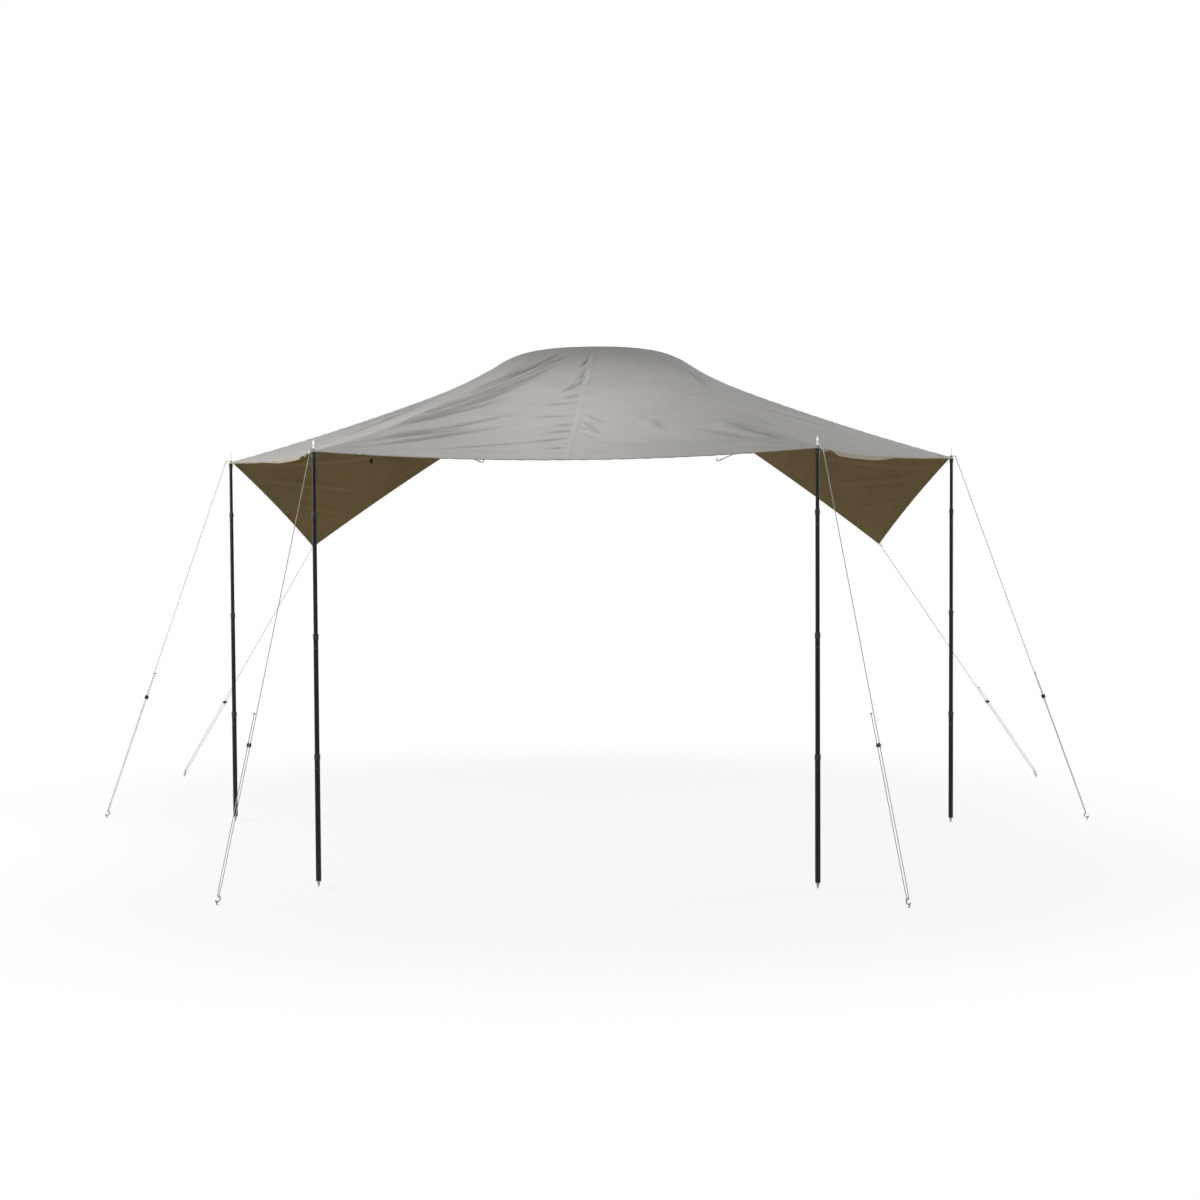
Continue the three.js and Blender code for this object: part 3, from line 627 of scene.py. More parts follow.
def roof_folds(x, y):
    rng = np.random.default_rng(7)
    total = np.zeros((2, *x.shape))
    for start, end, half_width, height in TENSION_FOLDS:
        total += fold_shape(x, y, start, end, half_width, height)
    for start, end in SEAM_PUCKERS:
        half_width, height = rng.uniform(0.013, 0.019), rng.uniform(0.0050, 0.0080)
        total += fold_shape(x, y, start, end, half_width, height)
    for side in SIDES.values():
        for pin in (front_pin(side), rear_pin(side)):
            inwards = level_unit(cloth_middle - pin)
            for _ in range(CORNER_FOLDS):
                turn = rng.uniform(-0.55, 0.55)
                way = (inwards[0] * math.cos(turn) - inwards[1] * math.sin(turn),
                       inwards[0] * math.sin(turn) + inwards[1] * math.cos(turn))
                near, far = rng.uniform(0.05, 0.09), rng.uniform(0.25, 0.6)
                total += fold_shape(
                    x, y, (pin[0] + way[0] * near, pin[1] + way[1] * near),
                    (pin[0] + way[0] * far, pin[1] + way[1] * far),
                    rng.uniform(0.010, 0.018), rng.uniform(0.0012, 0.0024))
    for _ in range(BROAD_FOLDS):
        px, py, turn = rng.uniform(-1.3, 1.3), rng.uniform(-1.2, 1.3), rng.uniform(0.9, 2.2)
        length = rng.uniform(0.25, 0.7)
        total += fold_shape(
            x, y, (px, py), (px + length * math.cos(turn), py + length * math.sin(turn)),
            rng.uniform(0.03, 0.06), rng.uniform(-0.0015, 0.0018))
    return total


print(len(TENSION_FOLDS), "long folds and", len(SEAM_PUCKERS), "puckers beside the seam")

# %% The roof's grid of points
HEM_ROWS = [0, 0.003, 0.0215, 0.0235, 0.029]
ARCH_ROWS = [0.040, 0.021, 0.019, 0]
SEAM_COLUMNS = [0, 0.0125, 0.0155]
RIDGE_COLUMNS = [0.030, 0.0135, 0.0115, 0]
ROOF_ROWS, FRONT_COLUMNS, SIDE_COLUMNS = 160, 92, 44


def eased(count, power):
    return (np.arange(count + 1) / count) ** power


def edge_normals(points):
    across, up_sheet = np.gradient(points, axis=1), np.gradient(points, axis=0)
    normals = np.cross(across, up_sheet)
    return normals / np.linalg.norm(normals, axis=-1, keepdims=True)


def panel_grid(surface, hem_rows, arch_rows, start_columns, end_columns, rows, columns, power):
    """Points of a panel, whose outer rows and columns keep fixed distances from its edges."""
    u_free = eased(columns, power)
    v_probe = np.linspace(0, 1, 201)

    def shares(v_guess):
        spans = surface(np.full_like(v_guess, 0.995), v_guess) - surface(0.005, v_guess)
        width = np.linalg.norm(spans, axis=-1)
        first = np.array(start_columns)[None] / width[:, None]
        last = 1 - np.array(end_columns)[None] / width[:, None]
        low, high = first[:, -1:], (last[:, :1] if len(end_columns) else np.ones((len(width), 1)))
        middle = low + (high - low) * u_free[None]
        return np.hstack([first[:, :-1], middle, last[:, 1:]])
    grid = []
    probe_u = shares(v_probe)
    for column in range(probe_u.shape[1]):
        line = surface(probe_u[:, column], v_probe)
        at = runs(line)
        free = at[-1] - hem_rows[-1] - arch_rows[0]
        distances = np.concatenate([
            hem_rows[:-1], hem_rows[-1] + free * np.linspace(0, 1, rows + 1),
            at[-1] - np.array(arch_rows[1:])])
        v = np.interp(distances, at, v_probe)
        grid.append(surface(np.interp(v, v_probe, probe_u[:, column]), v))
    return np.stack(grid, 1)


def roof_grid():
    halves = []
    for side in (-1, 1):
        front = panel_grid(
            front_panel(side), HEM_ROWS, ARCH_ROWS, SEAM_COLUMNS, [], ROOF_ROWS, FRONT_COLUMNS, 1.1)
        outer = panel_grid(
            side_panel(side), HEM_ROWS, ARCH_ROWS, [0], RIDGE_COLUMNS, ROOF_ROWS, SIDE_COLUMNS, 1.0)
        halves.append(np.concatenate([front, outer[:, 1:]], 1))
    return np.concatenate([halves[0][:, :0:-1], halves[1]], 1)


roof_points = roof_grid()
SEAM_AT = roof_points.shape[1] // 2
print("roof grid", roof_points.shape, "seam column", SEAM_AT)

# %% Folds, the turned-down side hems, and the sheet's thickness
# For each side: how far the hem turns down, where that starts and ends along the hem from the front corner,
# and the small kink where the corner's stiff patch ends.
HEM_TURNS = {
    "left": (30, (0.16, 0.24), (0.45, 0.68), 24, 0.135),
    "right": (55, (0.10, 0.20), (0.45, 0.62), 48, 0.050),
}


HEM_TURN_SHARES = (0.45, 0.8, 1.0, 1.0)


def smooth_step(low, high, x):
    t = np.clip((x - low) / (high - low), 0, 1)
    return t * t * (3 - 2 * t)


def turn_hem_down(points, normals, columns, hem_share, most, rise, fall, kink, kink_at):
    """Bends the outermost rows of these columns down, where the hem has rolled over."""
    turns = most * smooth_step(*rise, hem_share) * (1 - smooth_step(*fall, hem_share))
    turns = np.radians(turns + kink * np.exp(-((hem_share - kink_at) / 0.017) ** 2))
    last = len(HEM_ROWS) - 1
    for column, turn in zip(columns, turns):
        down, at = -normals[last, column], points[last, column].copy()
        step = points[last - 1, column] - at
        out = unit(step - down * (step @ down))
        for row, share in zip(range(last - 1, -1, -1), HEM_TURN_SHARES):
            length = HEM_ROWS[row + 1] - HEM_ROWS[row]
            at = at + (out * math.cos(turn * share) + down * math.sin(turn * share)) * length
            points[row, column] = at


def closed_sheet(name, points, normals, above, below, uv, edge_cells=None, bound_cells=None):
    """A grid made a closed sheet: `above` and `below` say how far its faces stand off the points."""
    rows, columns = points.shape[:2]
    top = points + normals * np.broadcast_to(above, (rows, columns))[..., None]
    bottom = points - normals * np.broadcast_to(below, (rows, columns))[..., None]
    count = rows * columns
    index = np.arange(count).reshape(rows, columns)
    cells = np.stack([index[:-1, :-1], index[:-1, 1:], index[1:, 1:], index[1:, :-1]], -1).reshape(-1, 4)
    rim = np.concatenate([
        index[0, :], index[1:, -1], index[-1, -2::-1], index[-2:0:-1, 0]])
    after = np.roll(rim, -1)
    sides = np.stack([after, rim, rim + count, after + count], -1)
    faces = np.concatenate([cells, cells[:, [0, 3, 2, 1]] + count, sides])
    made = mesh_object(name, np.concatenate([top.reshape(-1, 3), bottom.reshape(-1, 3)]), faces.tolist())
    mesh = made.data
    flat = np.asarray(uv, float).reshape(-1, 2)
    flat = np.concatenate([flat, flat])
    mesh.uv_layers.new(name="cloth").data.foreach_set("uv", flat[faces.ravel()].ravel())
    hem = np.zeros((rows - 1, columns - 1), bool) if edge_cells is None else edge_cells
    bound = np.zeros(len(cells)) if bound_cells is None else np.where(bound_cells.ravel(), 2, 0)
    look = np.concatenate([bound, np.where(hem.ravel(), 2, 1), np.full(len(sides), 2)])
    mesh.polygons.foreach_set("material_index", look.astype(np.int32))
    mesh.update()
    return made


def select_only(*objects):
    bpy.ops.object.select_all(action="DESELECT")
    for piece in objects:
        piece.select_set(True)
    bpy.context.view_layer.objects.active = objects[0]


def smooth_by_angle(piece, degrees=35):
    select_only(piece)
    bpy.ops.object.shade_smooth_by_angle(angle=math.radians(degrees))
    piece.select_set(False)


def store(piece, name, values):
    """Stores a value on each point of both faces of a sheet, which the cloth's finish reads."""
    layer = piece.data.attributes.new(name, "FLOAT", "POINT")
    flat = np.asarray(values, np.float32).ravel()
    layer.data.foreach_set("value", np.concatenate([flat, flat]))


row_run = np.stack([runs(roof_points[:, c]) for c in range(roof_points.shape[1])], 1)
column_run = np.stack([runs(roof_points[r]) for r in range(roof_points.shape[0])], 0)
to_hem, to_arch = row_run, row_run[-1] - row_run
to_ridge = np.minimum(column_run, column_run[:, -1:] - column_run)
to_seam = np.abs(column_run - column_run[:, SEAM_AT:SEAM_AT + 1])
edge_fade = (smooth_step(0.03, 0.12, to_hem) * smooth_step(0.03, 0.10, to_arch)
             * smooth_step(0.015, 0.08, to_ridge))
roof_x, roof_y = roof_points[..., 0], roof_points[..., 1]
sewing_ripple = (
    0.0011 * np.sin(column_run / 0.0115) * np.sin(column_run / 0.047 + 1.3) * smooth_step(0.07, 0.0, to_hem)
    + 0.0016 * np.sin(column_run / 0.0075) * np.sin(column_run / 0.031) * smooth_step(0.09, 0.0, to_arch)
    + 0.0013 * np.sin(row_run / 0.0125) * np.sin(row_run / 0.041 + 0.7) * smooth_step(0.06, 0.0, to_ridge)
    + 0.0010 * np.sin(row_run / 0.0110 + np.sign(column_run - column_run[:, SEAM_AT:SEAM_AT + 1]))
    * smooth_step(0.07, 0.012, to_seam) * np.sin(row_run / 0.053))
corner_hold = np.ones_like(roof_x)
for side in SIDES.values():
    for pin in (front_pin(side), rear_pin(side)):
        corner_hold *= smooth_step(0.02, 0.07, np.hypot(roof_x - pin[0], roof_y - pin[1]))
base_normals = edge_normals(roof_points)
fold_lift, in_valley = roof_folds(roof_x, roof_y) * edge_fade
lift = fold_lift + sewing_ripple
roof_points = roof_points + base_normals * (lift * corner_hold)[..., None]
SIDE_SPAN = SIDE_COLUMNS + len(RIDGE_COLUMNS) - 1
for side_name, columns in (
        ("left", np.arange(SIDE_SPAN, -1, -1)),
        ("right", np.arange(roof_points.shape[1] - SIDE_SPAN - 1, roof_points.shape[1]))):
    hem_line = column_run[0, columns]
    share = (hem_line - hem_line[0]) / (hem_line[-1] - hem_line[0])
    turn_hem_down(roof_points, base_normals, columns, share, *HEM_TURNS[side_name])
roof_normals = edge_normals(roof_points)
# The thickness is laid off along the unfolded cloth's normals, so that the two faces can't cross in a fold.
face_normals = np.where((to_hem < 0.03)[..., None], roof_normals, base_normals)
near_edge = np.minimum(np.minimum(to_hem, to_arch), to_ridge)
HEM_STAND = 0.0005
hem_stand = HEM_STAND * smooth_step(0.0235, 0.0215, to_hem)
hem_stand = np.maximum(hem_stand, HEM_STAND * smooth_step(0.021, 0.019, to_arch))
hem_stand = np.maximum(hem_stand, HEM_STAND * smooth_step(0.0135, 0.0115, to_ridge))
hem_cells = (to_hem[1:, 1:] < 0.0236) & (to_hem[:-1, 1:] < 0.0236)
bound_cells = hem_cells.copy()
hem_cells[:, :len(RIDGE_COLUMNS) - 2] |= True
hem_cells[:, -(len(RIDGE_COLUMNS) - 2):] |= True
roof = closed_sheet(
    "roof_cloth", roof_points, face_normals, CLOTH_THICKNESS / 2, CLOTH_THICKNESS / 2 + hem_stand,
    np.stack([roof_x, roof_y / 0.97], -1), hem_cells, bound_cells)
store(roof, "to_edge", near_edge)
store(roof, "in_fold", np.clip(in_valley, 0, 1))
print("roof cloth has", len(roof.data.polygons), "faces")
print("folds from", lift.min().round(4), "to", lift.max().round(4))

# %% Holes for the pole pins
def new_shape(name, adder, **options):
    """Adds a primitive with nothing else selected, and names it."""
    bpy.ops.object.select_all(action="DESELECT")
    adder(**options)
    made = bpy.context.active_object
    made.name = made.data.name = name
    return made


def settle(piece):
    """Puts the piece's place into its mesh, so that its object sits at the origin."""
    select_only(piece)
    bpy.ops.object.transform_apply(location=True, rotation=True, scale=True)
    piece.select_set(False)
    return piece


def cut(piece, *cutters):
    for cutter in cutters:
        select_only(piece)
        hole = piece.modifiers.new("hole", "BOOLEAN")
        hole.operation, hole.solver, hole.object = "DIFFERENCE", "EXACT", cutter
        bpy.ops.object.modifier_apply(modifier=hole.name)
        bpy.data.objects.remove(cutter)
    return piece


PUNCH_RADIUS, PUNCH_DEPTH = 0.0052, 0.05


def pin_punch(pin):
    return new_shape("punch", bpy.ops.mesh.primitive_cylinder_add, vertices=24, radius=PUNCH_RADIUS,
                     depth=PUNCH_DEPTH, location=pin)


PIN_PLACES = {f"{end}_{name}": pin(side) for name, side in SIDES.items()
              for end, pin in (("front", front_pin), ("rear", rear_pin))}
punches = [pin_punch(pin) for pin in PIN_PLACES.values()]
select_only(*punches)
bpy.ops.object.join()
settle(punches[0])
cut(roof, punches[0])
smooth_by_angle(roof, 40)
print("after the pin holes:", len(roof.data.polygons), "faces")

# %% [markdown]
# ## The wings
# A wing is a triangle-like sheet sewn under the roof's rear side edge, and pulled down and back to its own
# guyline. It hangs nearly upright, so the front view shows its coated inner face. Its folds fan out from the
# corners that hold it.

# %% Wing cloths
WING_FOLDS = [
    # share along the ridge and share down the wing at both ends, half width, height
    ((0.03, 0.10), (0.55, 0.52), 0.026, 0.0055), ((0.02, 0.22), (0.42, 0.80), 0.024, 0.0050),
    ((0.06, 0.04), (0.80, 0.30), 0.030, 0.0045), ((0.02, 0.45), (0.26, 0.92), 0.022, 0.0040),
    ((0.14, 0.05), (0.62, 0.16), 0.022, 0.0035), ((0.30, 0.95), (0.55, 0.40), 0.030, 0.0040),
    ((0.55, 0.92), (0.86, 0.25), 0.028, 0.0035), ((0.70, 0.10), (0.97, 0.45), 0.024, 0.0035),
    ((0.45, 0.85), (0.92, 0.88), 0.026, 0.0030), ((0.30, 0.20), (0.95, 0.62), 0.040, 0.0030),
]
WING_ROWS, WING_COLUMNS = 96, 84
WING_LENGTH, WING_DROP = 1.6, 0.95
WING_FOLD_SHARE, WING_VALLEY_SHARE = 0.7, 0.4
WING_HEM_ROWS = [0, 0.004, 0.012, 0.014], [0.986, 0.988, 0.996, 1]
WING_HEM_COLUMNS = [0, 0.010, 0.012], [0.984, 0.986, 0.996, 1]
wing_grids = {}
for side_name, side in SIDES.items():
    rng = np.random.default_rng(11 + side)
    surface = wing_surface(side)
    v_line = np.concatenate([WING_HEM_ROWS[0], np.linspace(0.02, 0.98, WING_ROWS), WING_HEM_ROWS[1]])
    u_line = np.concatenate([WING_HEM_COLUMNS[0], np.linspace(0.02, 0.98, WING_COLUMNS), WING_HEM_COLUMNS[1]])
    u, v = np.meshgrid(u_line, v_line)
    points = surface(u, v)
    normals = edge_normals(points)
    if normals[..., 1].mean() > 0:
        points, u, v = points[:, ::-1], u[:, ::-1], v[:, ::-1]
        normals = edge_normals(points)
    edge = np.minimum(np.minimum(v, 1 - v), np.minimum(u, 1 - u))
    folds = np.zeros((2, *u.shape))
    for start, end, half_width, height in WING_FOLDS:
        wobble = rng.uniform(-0.03, 0.03, 4)
        folds += fold_shape(
            v * WING_LENGTH, u * WING_DROP,
            ((start[0] + wobble[0]) * WING_LENGTH, (start[1] + wobble[1]) * WING_DROP),
            ((end[0] + wobble[2]) * WING_LENGTH, (end[1] + wobble[3]) * WING_DROP), half_width, height)
    lift, in_valley = WING_FOLD_SHARE * folds * smooth_step(0.01, 0.07, edge)
    lift += 0.0014 * np.sin(v * 95) * np.sin(v * 31 + side) * smooth_step(0.07, 0.0, u)
    lift += 0.0012 * np.sin(u * 80) * np.sin(u * 23) * smooth_step(0.05, 0.0, np.minimum(v, 1 - v))
    lift = lift * smooth_step(0.012, 0.05, u)
    points = points + normals * lift[..., None]
    normals = edge_normals(points)
    stand = 0.0006 * np.maximum(smooth_step(0.986, 0.988, u), np.maximum(
        smooth_step(0.014, 0.012, v), smooth_step(0.986, 0.988, v)))
    flat = np.stack([v * WING_LENGTH * side, points[..., 2]], -1)
    half = CLOTH_THICKNESS / 2 + stand
    wing = closed_sheet(f"wing_{side_name}_cloth", points, normals, half, half, flat)
    store(wing, "to_edge", edge)
    store(wing, "in_fold", np.clip(WING_VALLEY_SHARE * in_valley, 0, 1))
    wing_grids[side_name] = {"points": points, "normals": normals, "piece": wing, "u": u, "v": v}
    smooth_by_angle(wing, 40)
    print(wing.name, len(wing.data.polygons), "faces; mean normal", normals.mean((0, 1)).round(2))

# %% [markdown]
# ## Seams, patches and stitches
# The two halves of the roof are joined by a taped seam, and each corner that a pole holds is doubled with a
# stitched patch. The tape takes the roof's own columns, so it follows every pucker. A patch is laid on by
# looking up the height of the cloth under each of its points. Stitches are real: one small thread shape of a
# few faces, repeated along each sewn line.

# %% The seam tape
TAPE_THICKNESS, TAPE_SINK = 0.0009, 0.0001


def strip_between(points, normals, columns, lift, thickness, name):
    strip = points[:, columns] + normals[:, columns] * lift
    sheet_normals = edge_normals(strip)
    flat = np.stack([strip[..., 0], strip[..., 1]], -1)
    return closed_sheet(name, strip, sheet_normals, thickness, 0, flat)


tape_columns = list(range(SEAM_AT - 2, SEAM_AT + 3))
seam_tape = strip_between(
    roof_points[2:-1], roof_normals[2:-1], tape_columns, CLOTH_THICKNESS / 2 - TAPE_SINK, TAPE_THICKNESS,
    "centre_seam_tape")
smooth_by_angle(seam_tape, 50)

# %% Corner patches
grid_index = np.arange(roof_x.size).reshape(roof_x.shape)
grid_cells = np.stack(
    [grid_index[:-1, :-1], grid_index[:-1, 1:], grid_index[1:, 1:], grid_index[1:, :-1]], -1).reshape(-1, 4)
roof_tree = BVHTree.FromPolygons([Vector(p) for p in roof_points.reshape(-1, 3)], grid_cells.tolist())


def on_roof(x, y):
    """The middle of the cloth above or below a place in plan, and the cloth's normal there."""
    found, normal, _, _ = roof_tree.ray_cast(Vector((x, y, 4)), Vector((0, 0, -1)))
    if found is None:
        found, normal, _, _ = roof_tree.find_nearest(Vector((x, y, CLOTH_HEIGHT)))
    normal = np.array(normal)
    return np.array(found), normal if normal[2] > 0 else -normal


PATCH_REACH = 0.082


def patch_plan(pin, hems, reach):
    """Rows of plan points that fan out from the cloth's corner between its two hems."""
    corner = overhung(pin)
    turn = np.linspace(0, 1, 15)
    first, second = hems
    ways = np.array([unit(first * (1 - t) + second * t) for t in turn])
    spread = 1 / (ways @ unit(first + second))
    low = spread[len(turn) // 2]
    reaches = reach * (0.72 * spread / low + 0.28)
    shares = np.linspace(0.035, 1, 12)
    inwards = unit(first + second) * 0.004
    return (corner + inwards)[None, None] + ways[None] * (shares[:, None] * reaches[None])[..., None]


def hem_ways(end, side):
    pin = front_pin(side) if end == "front" else rear_pin(side)
    corner = overhung(pin)
    if end == "front":
        first, second = front_hem(0.5 + side * 0.44) - corner, side_hem(side)(0.06) - corner
    else:
        first, second = side_hem(side)(0.94) - corner, wing_ridge(side)(0.07) - corner
    return [level_unit(first), level_unit(second)]


sewn_lines = []
patches = []
for side_name, side in SIDES.items():
    for end, pin in (("front", front_pin(side)), ("rear", rear_pin(side))):
        plan = patch_plan(pin, hem_ways(end, side), PATCH_REACH)
        found = [[on_roof(x, y) for x, y, _ in row] for row in plan]
        middle = np.array([[p for p, _ in row] for row in found])
        if np.cross(middle[0, 1] - middle[0, 0], middle[1, 0] - middle[0, 0])[2] < 0:
            middle = middle[:, ::-1]
        normals = edge_normals(middle)
        flat = middle[..., :2]
        for level, lift, thick in (("top", CLOTH_THICKNESS / 2 - TAPE_SINK, TAPE_THICKNESS),
                                   ("under", -CLOTH_THICKNESS / 2 - 0.0014, 0.0011)):
            patch = closed_sheet(
                f"{end}_{side_name}_patch_{level}", middle + normals * lift, normals, thick, 0, flat)
            cut(patch, pin_punch(pin))
            smooth_by_angle(patch, 40)
            patches.append(patch)
        for distance in (0.93, 0.86):
            row = int(round(distance * 11))
            sewn_lines.append((middle[row], normals[row], 0.0008))
        for column in (1, -2):
            sewn_lines.append((middle[3:12, column], normals[3:12, column], 0.0008))
print(len(patches), "corner patches")

# %% Stitches
STITCH_LENGTH, STITCH_PITCH, THREAD = 0.0042, 0.0062, 0.00042
thread_ring = np.array([[0, 1, 0], [0, 0, 1], [0, -1, 0], [0, 0, -1]], float) * THREAD
thread_shape = np.vstack([
    [[-STITCH_LENGTH / 2, 0, 0]], thread_ring - (STITCH_LENGTH * 0.3, 0, 0),
    thread_ring + (STITCH_LENGTH * 0.3, 0, 0), [[STITCH_LENGTH / 2, 0, 0]]])
thread_faces = (
    [(0, 1 + (i + 1) % 4, 1 + i) for i in range(4)]
    + [(1 + i, 1 + (i + 1) % 4, 5 + (i + 1) % 4, 5 + i) for i in range(4)]
    + [(9, 5 + i, 5 + (i + 1) % 4) for i in range(4)])


def stitches(name, rows):
    """One mesh of stitches. Each row is a line of points, their normals, and how far the thread is off."""
    vertices, faces = [], []
    for points, normals, lift in rows:
        total = runs(points)[-1]
        centres = np.arange(STITCH_PITCH, total - STITCH_PITCH, STITCH_PITCH)
        middle = along(points, centres)
        ways = along(points, centres + 0.002) - along(points, centres - 0.002)
        at = runs(points)
        outward = np.stack([np.interp(centres, at, normals[:, k]) for k in range(3)], -1)
        for centre, way, normal in zip(middle, ways, outward):
            way = unit(way)
            normal = unit(normal - way * (normal @ way))
            frame_axes = np.array([way, np.cross(normal, way), normal])
            faces += [tuple(len(vertices) + i for i in face) for face in thread_faces]
            vertices += list(thread_shape @ frame_axes + centre + normal * lift)
    made = mesh_object(name, vertices, faces)
    made.data.shade_smooth()
    print(name, len(faces), "faces")
    return made


def between(points, normals, share, index, axis):
    """A line that lies a share of the way between two neighbouring rows or columns of a grid."""
    take = (lambda a, i: a[i]) if axis == 0 else (lambda a, i: a[:, i])
    return (take(points, index) * (1 - share) + take(points, index + 1) * share,
            take(normals, index) * (1 - share) + take(normals, index + 1) * share)


hem_half = CLOTH_THICKNESS / 2 + 0.0001
roof_rows = [
    (*between(roof_points, roof_normals, 0.92, 1, 0), hem_half),
    (*between(roof_points, roof_normals, 0.05, len(roof_points) - 4, 0), hem_half),
    (*between(roof_points, roof_normals, 0.95, 1, 1), hem_half),
    (*between(roof_points, roof_normals, 0.05, roof_points.shape[1] - 3, 1), hem_half),
]
for step in (-1, 1):
    column = SEAM_AT + step
    roof_rows.append((roof_points[3:-2, column], roof_normals[3:-2, column], hem_half + 0.0008))
under_rows = [(points, -normals, lift + HEM_STAND) for points, normals, lift in roof_rows[:4]]
roof_thread = stitches("roof_stitches", roof_rows + under_rows[:1] + sewn_lines)
wing_threads = {}
for side_name, grid in wing_grids.items():
    rows = []
    for index, axis in ((2, 0), (len(grid["v"]) - 4, 0)):
        line, normals = between(grid["points"], grid["normals"], 0.2, index, axis)
        rows += [(line, normals, hem_half + 0.0004), (line, -normals, hem_half + 0.0004)]
    free = -4 if grid["u"][0, -1] > 0.5 else 3
    rows += [(grid["points"][:, free], grid["normals"][:, free], hem_half),
             (grid["points"][:, free], -grid["normals"][:, free], hem_half)]
    wing_threads[side_name] = stitches(f"wing_{side_name}_stitches", rows)

# %% [markdown]
# ## The bead, and the helper for turned shapes
# The arched edge is sewn round a bead that slides into a rail. It is a long soft rod, so it gets a tube like
# the cords do. The poles, their collars, buttons, pins, plugs and feet are all round, so one helper makes
# them: a single vertex is extruded along half the outline and spun about the pole's axis.

# %% Bead along the arch
BEAD_RADIUS = 0.004
BEAD_OFFSET = 0.25 * CLOTH_THICKNESS + SEAT_GAP + BEAD_RADIUS
BEAD_END_INSET = 0.045


def bead_side(side):
    foot, tie = arch_at(side, 1), tie_corner(side)
    end = tie + towards(tie, foot, BEAD_END_INSET)
    return [end + (foot - end) * share for share in np.linspace(0, 0.93, 9)]


bead_route = np.array([*bead_side(-1), *along(arch_line, np.linspace(0.01, 0.99, 90) * runs(arch_line)[-1]),
                       *bead_side(1)[::-1]]) + (0, BEAD_OFFSET, 0)
bead = tube("arch_keder_bead", bead_route, BEAD_RADIUS, 16)
print("bead is", runs(bead_route)[-1].round(3), "m long")

# %% Turned shapes
SPIN_STEPS = 48


def turned(name, profile, steps=SPIN_STEPS):
    """A closed solid of revolution about Z. The profile is a list of (radius, height) pairs."""
    bpy.ops.object.select_all(action="DESELECT")
    bpy.ops.mesh.primitive_circle_add(vertices=3, radius=0.001)
    made = bpy.context.active_object
    made.name = made.data.name = name
    bpy.ops.object.mode_set(mode="EDIT")
    bpy.ops.mesh.select_mode(type="VERT")
    bpy.ops.mesh.select_all(action="SELECT")
    bpy.ops.mesh.merge(type="CENTER")
    bpy.ops.transform.translate(value=(profile[0][0], 0, profile[0][1]))
    for (radius, height), (next_radius, next_height) in zip(profile, profile[1:]):
        bpy.ops.mesh.extrude_vertices_move(
            TRANSFORM_OT_translate={"value": (next_radius - radius, 0, next_height - height)})
    bpy.ops.mesh.select_all(action="SELECT")
    bpy.ops.mesh.spin(steps=steps, angle=2 * math.pi, center=(0, 0, 0), axis=(0, 0, 1))
    bpy.ops.mesh.select_all(action="SELECT")
    bpy.ops.mesh.remove_doubles(threshold=0.00001)
    bpy.ops.mesh.normals_make_consistent(inside=False)
    bpy.ops.object.mode_set(mode="OBJECT")
    made.select_set(False)
    return made


def copied(source, name, shift=(0, 0, 0)):
    """A copy with its own mesh, moved by `shift` in its mesh."""
    made = source.copy()
    made.data = source.data.copy()
    made.name = made.data.name = name
    scene.collection.objects.link(made)
    made.data.transform(Matrix.Translation(shift))
    made.select_set(False)
    return made


def rounded(corners, radius, steps=3):
    """The outline with each corner that is marked True cut round."""
    line = []
    count = len(corners)
    for i, (x, y, *soft) in enumerate(corners):
        if not soft or i in (0, count - 1):
            line.append((x, y))
            continue
        here = np.array([x, y])
        before, after = np.array(corners[i - 1][:2]), np.array(corners[i + 1][:2])
        start = here + (before - here) / np.linalg.norm(before - here) * radius
        end = here + (after - here) / np.linalg.norm(after - here) * radius
        for t in np.linspace(0, 1, steps + 1):
            line.append(tuple((1 - t) ** 2 * start + 2 * t * (1 - t) * here + t * t * end))
    return line


# %% [markdown]
# ## The telescopic poles
# Each pole is four aluminium tubes that slide into each other. A plastic collar grips the mouth of the three
# outer ones, and a spring button snaps through a hole below it. At the foot a turned steel cone stands in the
# ground; at the head a plastic plug carries a long steel pin that passes through the eyelet.

# %% Pole parts, made once at the origin
TUBE_WALL = 0.001
OUTER_TUBE_RADIUS, SLIDE_GAP = 0.0125, 0.0003
SPIKE_HEIGHT, PLUG_HEIGHT, EYELET_DEPTH = 0.028, 0.024, 0.006
MOUTH_SHARES = (0.31, 0.591, 0.873)
TUBE_OVERLAP, TOP_TUBE_OVERLAP = 0.090, 0.306
COLLAR_HEIGHT, COLLAR_LIP, BUTTON_DROP = 0.026, 0.0008, 0.040
BUTTON_RADIUS, BUTTON_HOLE_RADIUS, BUTTON_PROUD = 0.0032, 0.0036, 0.0014
BUTTON_STOP, PLUG_STOP, FOOT_STOP = 0.0072, 0.004, 0.016
PIN_RADIUS = 0.00325
# A CAD tube has flat sides. This share of its radius is how far they lie from its middle.
FLAT_SHARE = 0.966

PLUG_TOP = CLOTH_HEIGHT - EYELET_DEPTH - SEAT_GAP
PLUG_FOOT = PLUG_TOP - PLUG_HEIGHT
TOP_TUBE_END = PLUG_FOOT - SEAT_GAP
MOUTHS = [share * TOP_TUBE_END for share in MOUTH_SHARES]
TUBE_FEET = [SPIKE_HEIGHT + SEAT_GAP, MOUTHS[0] - TUBE_OVERLAP, MOUTHS[1] - TUBE_OVERLAP,
             MOUTHS[2] - TOP_TUBE_OVERLAP]
BUTTON_HEIGHTS = [mouth - COLLAR_HEIGHT - BUTTON_DROP for mouth in MOUTHS]
TRAVELS = [
    min(BUTTON_HEIGHTS[1] - BUTTON_STOP - MOUTHS[0], TUBE_FEET[1] - SPIKE_HEIGHT - FOOT_STOP),
    BUTTON_HEIGHTS[2] - BUTTON_STOP - MOUTHS[1], PLUG_FOOT - PLUG_STOP - MOUTHS[2]]
LEVELS = ["base", "lower", "upper", "top"]


